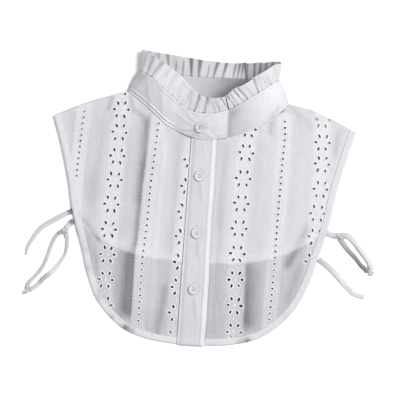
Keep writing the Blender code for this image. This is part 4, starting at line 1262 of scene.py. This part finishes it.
# Painted shade where the edge turns over or dips into shade: x, y, reach, amount
EDGE_SHADES = [
    (-71, -138.5, 4.5, 2.2), (-64, -141.5, 4, 1.2), (57.5, -145, 4.5, 1.9), (50, -147.5, 4, 0.9),
    (-86, -128, 3.5, 1.1), (-101, -108, 4.5, 0.9), (-113, -78, 5, 0.7), (131, -30, 5, 0.3),
    (98, -118, 5, 0.3), (-120, -60, 4, 0.6), (-128, -40, 4, 0.5), (20, -151, 5, 0.4),
]


def round_shades(table, x, y):
    """Soft round painted shades from rows of x, y, reach, amount."""
    return sum(amount * np.exp(-((x - at_x) ** 2 + (y - at_y) ** 2) / reach ** 2)
               for at_x, at_y, reach, amount in table)


def bound_edge(name, node, line, height_at, fold, pucker, tone, mirror=False):
    """A folded strip along a line on the table. Gives the line that its stitches follow."""
    line = spread(line, round(lengths_along(line)[-1] / 1.5))
    lengths = lengths_along(line)
    fold = np.array(fold)

    def row(inset, rise):
        place = moved_inward(line, inset)
        if mirror:
            place = mirrored(place)
        wave = ripple(lengths, 1.9, 1.6, 23.0, phase=0.5 * inset) * np.sin(lengths / 13.0)
        height = height_at(place) + rise + pucker * wave * (inset / 7.0)
        return np.column_stack([place, np.maximum(height, LOWEST_BINDING)])

    points = np.stack([row(inset, rise) for inset, rise in fold], axis=1).reshape(-1, 3)
    # painted shade at the places of EDGE_SHADES
    painted_shade_and_tone = tone + round_shades(EDGE_SHADES, points[:, 0], points[:, 1])
    piece = make_piece(name, points, grid_faces(len(line), len(fold)), plain_cotton, [node],
                       wall=CLOTH_WALL, painted_shade_and_tone=painted_shade_and_tone)
    return row(STITCH_LINE_INSET, fold[:, 1].max() * 0.7 + CLOTH_WALL / 2.0)


right_edge = cut_at_x(edge_line[1], FRONT_RIGHT_EDGE_X)
left_edge = cut_at_x(edge_line[-1], FRONT_LEFT_FOOT_X)
back_fold = [(inset, rise * 0.72) for inset, rise in BINDING_FOLD]
seams = [
    bound_edge("edge_binding_right", "binding_right", right_edge, front_height, BINDING_FOLD, 0.2, 0.05),
    bound_edge("edge_binding_left", "binding_left", left_edge, front_height, BINDING_FOLD, 0.42, -0.05, True),
    bound_edge("back_hem_binding", "back_binding", back_outline, lambda p: np.full(len(p), 0.8), back_fold,
               0.06, 0.1),
]
sewn("binding_stitches", seams, 0.24, rise=0.2, sunk=0.05)

# %% [markdown]
# ## The placket
#
# The placket is the strip that the buttons are sewn to. It starts beside the left front, steps
# up over the right front, and turns back under itself at its right edge.

# %% Placket tables
# The placket from left to right and back under itself: x at the foot, rise
PLACKET_ACROSS = [
    (-16.4, 0.15), (-16.1, 0.6), (-15.5, 0.85), (-14.9, 0.8), (-14.3, 0.42), (-13.2, 0.42),
    (-11.8, 0.42), (-10.2, 0.42), (-8.5, 0.45), (-7, 0.5), (-5.5, 0.52), (-4, 0.5), (-2.6, 0.5),
    (-1.2, 0.5), (0.2, 0.5), (1.6, 0.5), (3, 0.5), (4.5, 0.48), (6, 0.42), (7.2, 0.4), (7.9, 0.72),
    (9, 0.95), (10.4, 1), (11.8, 0.85), (12.8, 0.45), (12.9, 0.1), (12, -0.2), (9, -0.32), (4, -0.35),
    (-2, -0.35),
]
# How many rows of the table are its upper side
PLACKET_TOP_SIDES = 25
# Folds that the buttons pull: from x, y to x, y, half width, height
PLACKET_FOLDS = [
    (-3.6, -42.5, -6.4, -60, 1.8, 0.5), (-0.2, -42.5, 3, -62, 1.8, 0.45),
    (-2, -43, -1.2, -54, 1.6, -0.45), (-3.8, 17.5, -6, 3, 1.7, 0.35), (-0.6, 17.5, 1.8, 0, 1.7, 0.35),
    (-2.2, 17, -2, 8, 1.5, -0.35), (-3.4, -101.5, -7.2, -124, 1.9, 0.6),
    (0.2, -101.5, 4, -126, 1.9, 0.55), (-1.6, -102, -0.8, -116, 1.7, -0.5),
    (-9, 44, -8.6, 10, 2.2, 0.25), (-9.4, -56, -9.2, -90, 2, 0.3), (4.2, -60, 4.6, -86, 1.6, 0.35),
    (-3, 56, -5, 40, 1.4, 0.3), (0.5, 56, 2.4, 40, 1.4, 0.3), (3, -118, 4.4, -150, 1.8, 0.4),
]
# Painted light and shade across it, by how the light falls: x at the foot, tone
PLACKET_TONES = [
    (-16.3, 1.2), (-15.9, -0.4), (-14.9, -0.4), (-14.3, 0.7), (-13.6, 0.3), (6.4, 0.3), (7.4, 0.6),
    (8.2, -0.6), (12.6, -0.6),
]
BUTTON_PLACES = [(-2.1, 25.0), (-1.8, -35.0), (-1.6, -93.8)]
PULL_LENGTH, PULL_SHADE = 26.0, 0.45
PLACKET_LIFT_LOW, PLACKET_LIFT_FULL = 0.2, 2.1
PLACKET_FOOT_Y = -152.9
PLACKET_ROWS = 150
print("the placket has", len(PLACKET_ACROSS), "lines")

# %% Placket cloth


def placket_row(x, rise, folded=False):
    """One line down the placket. x is its place at the foot, and the left side leans."""
    top_x = x + PLACKET_LEAN * (PLACKET_RIGHT_X - x) / (PLACKET_RIGHT_X - PLACKET_LEFT_X)
    near = front_neck[np.abs(front_neck[:, 0]) < 30.0]
    top_y = np.interp(top_x, near[:, 0], near[:, 1]) - 0.35
    down = np.linspace(0.0, 1.0, PLACKET_ROWS)
    y = top_y + (PLACKET_FOOT_Y - top_y) * down
    sway = 0.35 * np.sin(y / 21.0) + 0.2 * np.sin(y / 7.3)
    place = np.column_stack([top_x + (x - top_x) * down + sway * smoothstep(4.0, 12.0, x), y])
    step = smoothstep(PLACKET_LEFT_X, PLACKET_STEP_X, x)
    lift = PLACKET_LIFT_LOW + (PLACKET_LIFT_FULL - PLACKET_LIFT_LOW) * step
    height = front_height(place) + lift + rise
    if folded:
        height += ridges(PLACKET_FOLDS, place, 0.2, 0.3)
    return np.column_stack([place, height])


def pull_shades(points):
    """Painted shade along two soft lines that run down and apart from under each button."""
    total = np.zeros(points.shape[:2])
    for _, button_y in BUTTON_PLACES:
        below = (button_y - 6.0 - points[..., 1]) / PULL_LENGTH
        aside = np.abs(points[..., 0] + 1.8) - 2.6 * np.clip(below, 0, 1)
        total += PULL_SHADE * plateau(below, 0.0, 0.12, 0.4, 1.1) * np.exp(-(aside / 1.5) ** 2)
    return total


columns = [placket_row(x, rise, index < PLACKET_TOP_SIDES) for index, (x, rise) in enumerate(PLACKET_ACROSS)]
points = np.stack(columns, axis=1)
# painted light and shade across the placket and under each button
tone = np.interp(np.array(PLACKET_ACROSS)[:, 0], *np.array(PLACKET_TONES).T) + pull_shades(points)
placket = make_piece("placket_cloth", points.reshape(-1, 3), grid_faces(PLACKET_ROWS, len(columns)),
                     plain_cotton, ["placket"], wall=CLOTH_WALL, painted_shade_and_tone=tone.ravel())

# %% Stitches of the placket


def on_placket(places):
    """Height of the placket's upper face, where it lies level."""
    return front_height(places) + PLACKET_LIFT_FULL + 0.5 + CLOTH_WALL / 2.0


seams = [placket_row(x, rise + CLOTH_WALL / 2.0) for x, rise in ((-14.6, 0.52), (8.3, 0.8), (11.9, 0.84))]
box = spread(np.array([(12.0, 60.2), (-1.4, 60.2), (-1.4, 64.0)]), 18)
sewn("placket_stitches", seams + [np.column_stack([box, on_placket(box)])], 0.24, rise=0.22)

# %% [markdown]
# ## Buttonholes
#
# A buttonhole is a slit with a row of short stitches down each side and one bar across each
# end, so a button hides all but its ends. Two crossed stitches hold each button.

# %% Buttonholes and the thread of the buttons
HOLE_ABOVE, HOLE_BELOW, BAR_PITCH, BAR_IN, BAR_OUT = 8.2, 11.5, 0.5, 0.25, 1.35
bars = []
for x, y in BUTTON_PLACES:
    for drop in np.arange(-HOLE_ABOVE, HOLE_BELOW, BAR_PITCH):
        bars += [[(x + side * BAR_IN, y - drop), (x + side * BAR_OUT, y - drop)] for side in SIDES]
    bars += [[(x - 1.3, y - drop), (x + 1.3, y - drop)] for drop in (-HOLE_ABOVE - 0.4, HOLE_BELOW + 0.4)]
bars = np.array([spread(np.array(bar), 3) for bar in bars])
stitches("buttonhole_bars", lifted(bars, on_placket), 0.3, rise=0.34)

BUTTON_HOLE_OUT, THREAD_OUT, THREAD_APART, THREAD_SUNK = 1.25, 1.35, 0.22, 0.35
threads = []
for button in buttons:
    corners = np.array([button.matrix_world @ vertex.co for vertex in button.data.vertices]) / MM
    middle = corners.mean(axis=0)
    middle[2] = corners[:, 2].max() - THREAD_SUNK
    for side in SIDES:
        for shift in (-THREAD_APART, THREAD_APART):
            line = np.array([(-THREAD_OUT, side * BUTTON_HOLE_OUT + shift, 0.0),
                             (THREAD_OUT, side * BUTTON_HOLE_OUT - shift, 0.0)])
            threads.append(points_at(line + middle, np.linspace(0.0, 2.0 * THREAD_OUT, 4)))
stitches("button_threads", np.array(threads), 0.26, rise=0.3)

# %% [markdown]
# ## The stand collar
#
# The band is one long strip, stiffened, that runs all round the neck. Its ends cross at the
# front, the upper one over the lower one, and a button holds them.

# %% Band surface
BAND_UNDER_END, BAND_UPPER_END = -12.0, 24.0
BAND_LIFT_FROM, BAND_LIFT_TO, BAND_LIFT = -33.0, -14.0, 2.3
BAND_BULGE, BAND_STANDS_AT, SEAM_GAP = 1.2, 6.0, 0.1
BAND_WALL, BAND_SOLID, BAND_WIDTH = 1.1, 1.6, 28.0


def ring_rows(along):
    """Neck seam, ruffle seam and free edge at distances round the collar."""
    around = np.mod(along, RING_LENGTH)
    rows = np.stack([np.interp(around, ring_lengths, column) for column in ring.T], axis=-1)
    return rows[..., 0:3], rows[..., 3:6], rows[..., 6:9]


def band_lift(along):
    return BAND_LIFT * smoothstep(RING_LENGTH + BAND_LIFT_FROM, RING_LENGTH + BAND_LIFT_TO, along)


def ring_frames(along):
    neck, seam, edge = ring_rows(along)
    neck_before, seam_before, edge_before = ring_rows(along - 1.5)
    neck_after, seam_after, edge_after = ring_rows(along + 1.5)
    band_normal = unit(np.cross(neck_after + seam_after - neck_before - seam_before, seam - neck))
    ruffle_normal = unit(np.cross(seam_after + edge_after - seam_before - edge_before, edge - seam))
    return neck, seam, edge, band_normal, ruffle_normal


def band_surface(along, up, relief):
    """Places of the band's middle, up being 0 at the neck and 1 at the ruffle."""
    along, up = np.broadcast_arrays(np.asarray(along, float), np.asarray(up, float))
    neck, seam, _, normal, _ = ring_frames(along)
    width = np.linalg.norm(seam - neck, axis=-1)
    up = (SEAM_GAP / width + up * (1.0 - SEAM_GAP / width))[..., None]
    place = neck + (seam - neck) * up
    standing = smoothstep(BAND_SOLID / 2.0, BAND_STANDS_AT, place[..., 2:])
    relief = np.broadcast_to(relief, along.shape)[..., None]
    place = place + normal * (BAND_BULGE * 4.0 * up * (1.0 - up) * standing + relief)
    place[..., 2] += band_lift(along)
    place[..., 2] = np.maximum(place[..., 2], BAND_SOLID / 2.0 + 0.1)
    return place


print("the band runs from", BAND_UNDER_END, "to", round(RING_LENGTH + BAND_UPPER_END, 1), "mm round the neck")

# %% Band with its creases
# Creases of the band: from distance round and share up, to the same, half width, height
BAND_CREASES = [
    (-6, 0.58, -22, 0.92, 1.4, 0.6), (-8, 0.5, -30, 0.6, 1.6, 0.5), (-7, 0.4, -24, 0.16, 1.5, 0.6),
    (-2, 0.62, 9, 0.96, 1.4, 0.6), (0, 0.5, 14, 0.55, 1.6, 0.4), (-2, 0.38, 9, 0.08, 1.4, 0.6),
    (-4, 0.34, -4, 0.04, 1.2, 0.5), (-12, 0.3, -18, 0.1, 1.2, -0.5), (6, 0.3, 12, 0.1, 1.2, -0.5),
    (-60, 0.1, -72, 0.9, 2.6, 0.6), (-84, 0.5, -76, 0.95, 1.6, -0.8), (-44, 0.2, -54, 0.9, 2.2, 0.5),
    (30, 0.3, 36, 0.9, 2, -0.6), (46, 0.1, 52, 0.9, 2, 0.4), (66, 0.1, 76, 0.85, 2.2, 0.5),
    (74, 0.02, 79, 0.3, 1.5, -1), (120, 0.2, 150, 0.5, 2.4, 0.3), (190, 0.3, 215, 0.7, 2.4, 0.3),
]
# Painted light and shade round the band, by how far it is from the light: distance round the band, tone
BAND_TONES = [
    (-14, 0.1), (5, 0), (20, -0.3), (23.5, -0.3), (24.5, 1.3), (28, 1.1), (32, 0.75), (40, 0.5), (54, 0),
    (66, -0.4), (80, -0.5), (88, -0.1), (95, 2.2), (118, 2.2), (136, 2.1), (152, 1.65), (170, 0.75),
    (188, 0.25), (215, 0.05), (232, 0.3), (243, 0.7), (249, 0.6), (258, 0.1), (270, -0.1), (285, -0.4),
    (300, -0.5), (318, -0.1),
]
# Soft painted shades: distance round and distance up the band, reach, amount
BAND_SPOTS = [
    (71, 1.68, 4, 0.8), (77, 4.48, 3, 0.7), (-22, 5.6, 5, 0.3), (33, 22.4, 6, 0.5), (250, 21, 5, 0.6),
    (-6, 5.6, 4, 0.3),
]
# Lines of the piped seam at the neck: share up, half width, height, tone; the tone paints a highlight on the
# two ridges and shade in the groove between them
PIPED_LEAST = 0.14
SEAM_LINES = ((0.028, 0.03, 0.85, -0.5), (0.15, 0.03, 0.7, -0.5), (0.088, 0.022, -0.75, 1.3))


def pipe_share(along):
    """The piped seam stands out most at the left, where the band leans back."""
    return PIPED_LEAST + (1.0 - PIPED_LEAST) * plateau(along, 243.0, 250.0, 292.0, 306.0)


def band_relief(along, up):
    """Creases, the piped seam at the neck and the stitched upper seam, as heights."""
    total = np.zeros_like(along)
    for a0, u0, a1, u1, half_width, height in BAND_CREASES:
        run_a, run_u = a1 - a0, (u1 - u0) * BAND_WIDTH
        for turn in (0.0, RING_LENGTH):
            da, du = along - a0 - turn, (up - u0) * BAND_WIDTH
            share = (da * run_a + du * run_u) / (run_a ** 2 + run_u ** 2)
            gap = np.hypot(da - share * run_a, du - share * run_u)
            total += height * soft_ends(share, 0.2, 0.25) * np.exp(-(gap / half_width) ** 2)
    piped = pipe_share(along)
    for middle, half_width, height, _ in SEAM_LINES:
        total += piped * height * np.exp(-((up - middle) / half_width) ** 2)
    total += 0.3 * np.exp(-((up - 0.96) / 0.04) ** 2)
    # puckers along the seam at the neck, and larger ones where the ruffle is gathered in
    total += 0.12 * ripple(along, 2.3, 2.0, 19.0) * np.exp(-(up / 0.16) ** 2)
    total += 0.2 * ripple(along, 1.7, 1.5, 13.0) * smoothstep(0.6, 1.0, up)
    return total


band_along = np.arange(BAND_UNDER_END, RING_LENGTH + BAND_UPPER_END + 0.01, 1.7)
band_along[-1] = RING_LENGTH + BAND_UPPER_END
band_up = np.concatenate([np.linspace(0.0, 0.2, 17), np.linspace(0.23, 1.0, 26)])
grid_along, grid_up = np.meshgrid(band_along, band_up)
middle = band_surface(grid_along, grid_up, band_relief(grid_along, grid_up))
tone_at, tone = np.array(BAND_TONES, float).T
once_round = np.where(grid_along > RING_LENGTH - 14.0, grid_along - RING_LENGTH, grid_along)
band_tone = np.interp(once_round, tone_at, tone)
# painted highlight and shade along the piped seam, and soft painted shades
for line_up, half_width, _, amount in SEAM_LINES:
    band_tone += amount * pipe_share(grid_along) * np.exp(-((grid_up - line_up) / half_width) ** 2)
band_tone += round_shades(BAND_SPOTS, grid_along, grid_up * BAND_WIDTH)
# painted shade inside the collar's far side, lighter towards the ruffle
far_side = (grid_along > 92.0) & (grid_along < 240.0)
band_tone = np.where(far_side, band_tone * (1.15 - 0.3 * grid_up), band_tone)
band = make_piece("collar_band_cloth", middle.reshape(-1, 3), grid_faces(*grid_along.shape), plain_cotton,
                  ["collar_band"], wall=BAND_WALL, painted_shade_and_tone=band_tone.ravel())

# %% Stitches of the band
seams = []
for up in (0.075, 0.93):
    place = band_surface(band_along, up, band_relief(band_along, np.full(len(band_along), up)))
    normal = ring_frames(band_along)[3]
    seams.append(place + normal * (BAND_WALL / 2.0 + 0.05))
sewn("band_stitches", seams, 0.22, rise=0.2)

# %% [markdown]
# ## The ruffle
#
# The ruffle is a longer strip gathered into the band's upper seam. Where it is pushed together
# it falls into pleats with narrow valleys between them. The table below has one row for each
# valley, from the centre front round by the right, so no two pleats are alike.

# %% Valleys of the ruffle
# Distance round the collar at the seam and at the free edge, depth, half width at the seam and
# at the free edge, and the share of the ruffle's width that the valley reaches
VALLEYS = [
    (-12.5, -11, 2.6, 1.2, 2.2, 2), (-2.5, 1, 2.6, 1.3, 2.4, 2), (8.5, 6, 0.8, 0.8, 1, 0.7),
    (15, 10, 1, 0.8, 1, 0.8), (24.5, 17, 1.5, 0.8, 1.1, 2), (31.5, 26.5, 1.9, 0.8, 1.1, 2),
    (35, 30.5, 1.4, 0.6, 0.9, 2), (42, 36, 1.8, 0.8, 1, 2), (46.8, 42, 2.1, 0.8, 1.1, 2),
    (53.5, 49.5, 0.9, 0.8, 1.2, 0.9), (60.5, 61.8, 2.2, 0.9, 1.3, 2), (65.5, 67, 1.1, 0.7, 1, 2),
    (71, 69.5, 0.7, 0.7, 0.9, 0.8), (76, 72, 1.3, 0.7, 1, 0.8), (84, 82, 0.9, 0.8, 1.2, 2),
    (92, 91, 1.2, 1, 1.4, 2), (100, 101, 1.5, 1, 1.4, 2), (107, 107.5, 1.4, 0.9, 1.2, 2),
    (114, 112.8, 1.5, 0.8, 1.2, 2), (119, 119, 1.5, 0.8, 1.2, 2), (126.5, 127.8, 3, 1.2, 1.9, 2),
    (132.6, 129.9, 2, 0.7, 1, 2), (136.4, 133.2, 2, 0.8, 1, 2), (140.8, 137, 1.8, 0.8, 1, 2),
    (151.6, 147.2, 2.4, 0.8, 1.4, 2), (161.6, 156.8, 2.4, 0.8, 1.4, 2), (167.6, 165.4, 1.6, 0.7, 1, 0.8),
    (176.5, 176, 2.6, 0.8, 2, 2), (184.4, 185.8, 2.8, 0.8, 2.2, 2), (193.5, 193.8, 1.7, 0.8, 1.2, 0.9),
    (201, 201.2, 1.7, 0.8, 1.2, 0.8), (208, 212, 2, 0.8, 1.4, 2), (217.5, 222, 1.4, 0.9, 1.4, 2),
    (227, 231, 1.4, 0.9, 1.6, 2), (236, 240, 1.2, 1, 1.6, 2), (245, 247, 1, 1.2, 2, 2),
    (254, 253.2, 1.7, 1.5, 2.6, 2), (260.2, 262.8, 2, 1.3, 2.3, 2), (268.5, 270.5, 0.8, 0.7, 1, 0.5),
    (277.4, 275.5, 0.9, 0.6, 0.8, 0.35), (283.5, 282, 0.7, 0.6, 0.8, 0.3),
    (290, 287, 0.9, 0.6, 0.9, 0.45), (297, 295, 0.8, 0.6, 0.8, 0.35), (303.8, 301.5, 1.1, 0.7, 0.8, 0.4),
    (312.8, 311, 1.1, 0.7, 1, 0.5),
]
PLEAT_LOW, PLEAT_HIGH, PLEAT_STEP = -0.3, 0.45, 0.7


def valley_field(along, up):
    """How deep the ruffle dips at a distance round the collar and a share of its width."""
    deepest = np.zeros(np.broadcast(along, up).shape)
    for at_seam, at_edge, depth, width_seam, width_edge, reach in VALLEYS:
        offset = along - at_seam - (at_edge - at_seam) * up
        offset = (offset + RING_LENGTH / 2.0) % RING_LENGTH - RING_LENGTH / 2.0
        width = width_seam + (width_edge - width_seam) * up
        fade = 1.0 - smoothstep(reach - 0.35, reach + 0.1, up)
        deepest = np.maximum(deepest, depth * fade * (0.6 + 0.4 * up) * np.exp(-(offset / width) ** 2))
    return deepest


full_valleys = sorted((row[1] % RING_LENGTH for row in VALLEYS if row[5] > 1.0))
steps = chance.uniform(-PLEAT_STEP, PLEAT_STEP, len(full_valleys))
step_at = np.array([(place - 0.7, place + 0.7) for place in full_valleys]).ravel()
step_value = np.column_stack([np.roll(steps, 1), steps]).ravel()
tilt_value = np.tile([PLEAT_HIGH, PLEAT_LOW], len(full_valleys))
print(len(VALLEYS), "valleys, of them", len(full_valleys), "up to the free edge")

# %% Ruffle
RUFFLE_SPACING, RUFFLE_ROWS = 0.45, 18
RUFFLE_WALL, RUFFLE_BASE, RUFFLE_LOWEST = 0.4, 1.0, 0.35
# Painted light and shade round the ruffle: distance, tone
RUFFLE_TONES = [
    (85, 0.1), (98, 1.2), (124, 1.2), (132, 0.5), (150, 0.25), (215, 0.2), (236, 0.2), (250, 0.1),
    (262, 0), (270, -0.2),
]

start = BAND_UPPER_END + 1.2
ruffle_along = np.linspace(start, RING_LENGTH + BAND_UPPER_END, round(RING_LENGTH / RUFFLE_SPACING))
_, seam, edge, _, ruffle_normal = ring_frames(ruffle_along)
lift = band_lift(ruffle_along)[:, None] * UP
across = unit(edge - seam)
around = np.mod(ruffle_along, RING_LENGTH)
step = np.interp(around, step_at, step_value, period=RING_LENGTH)
tilt = np.interp(around, step_at, tilt_value, period=RING_LENGTH)
# the ruffle leans back at its left, where it has many low waves in place of deep valleys
smooth_left = plateau(around, 258.0, 266.0, 306.0, 316.0)
at_back = plateau(around, 90.0, 100.0, 232.0, 244.0)
swell = 0.45 * ripple(ruffle_along, 4.1, 2.0, 31.0)
swell += 0.5 * smooth_left * ripple(ruffle_along, 1.9, 2.2, 14.0)
gathers = (0.24 - 0.13 * smooth_left) * ripple(ruffle_along, 0.62, 1.8, 9.0)
corner = np.interp(around, *np.array(RUFFLE_TONES).T)
rows, tones = [], []
for up in np.linspace(0.0, 1.0, RUFFLE_ROWS + 1):
    valley = valley_field(ruffle_along, up)
    relief = RUFFLE_BASE * at_back * min(1.0, 3.0 * up) - valley + gathers * (1.0 - up) ** 2
    relief = relief + (swell + tilt) * min(1.0, 2.0 * up)
    place = seam + (edge - seam) * up + lift + across * (step * up ** 3)[:, None]
    place = place + ruffle_normal * relief[:, None]
    place[:, 2] = np.maximum(place[:, 2], RUFFLE_LOWEST)
    rows.append(place)
    # painted light on the ruffle's front, painted shade from the table above and in the valleys
    tones.append(-0.3 * (1.0 - at_back) + corner + 0.05 * smooth_left + 0.8 * valley)
points = np.vstack(rows)
ruffle = make_piece("neck_ruffle_cloth", points, grid_faces(RUFFLE_ROWS + 1, len(ruffle_along)),
                    plain_cotton, ["collar_ruffle"], wall=RUFFLE_WALL, painted_shade_and_tone=np.concatenate(tones))
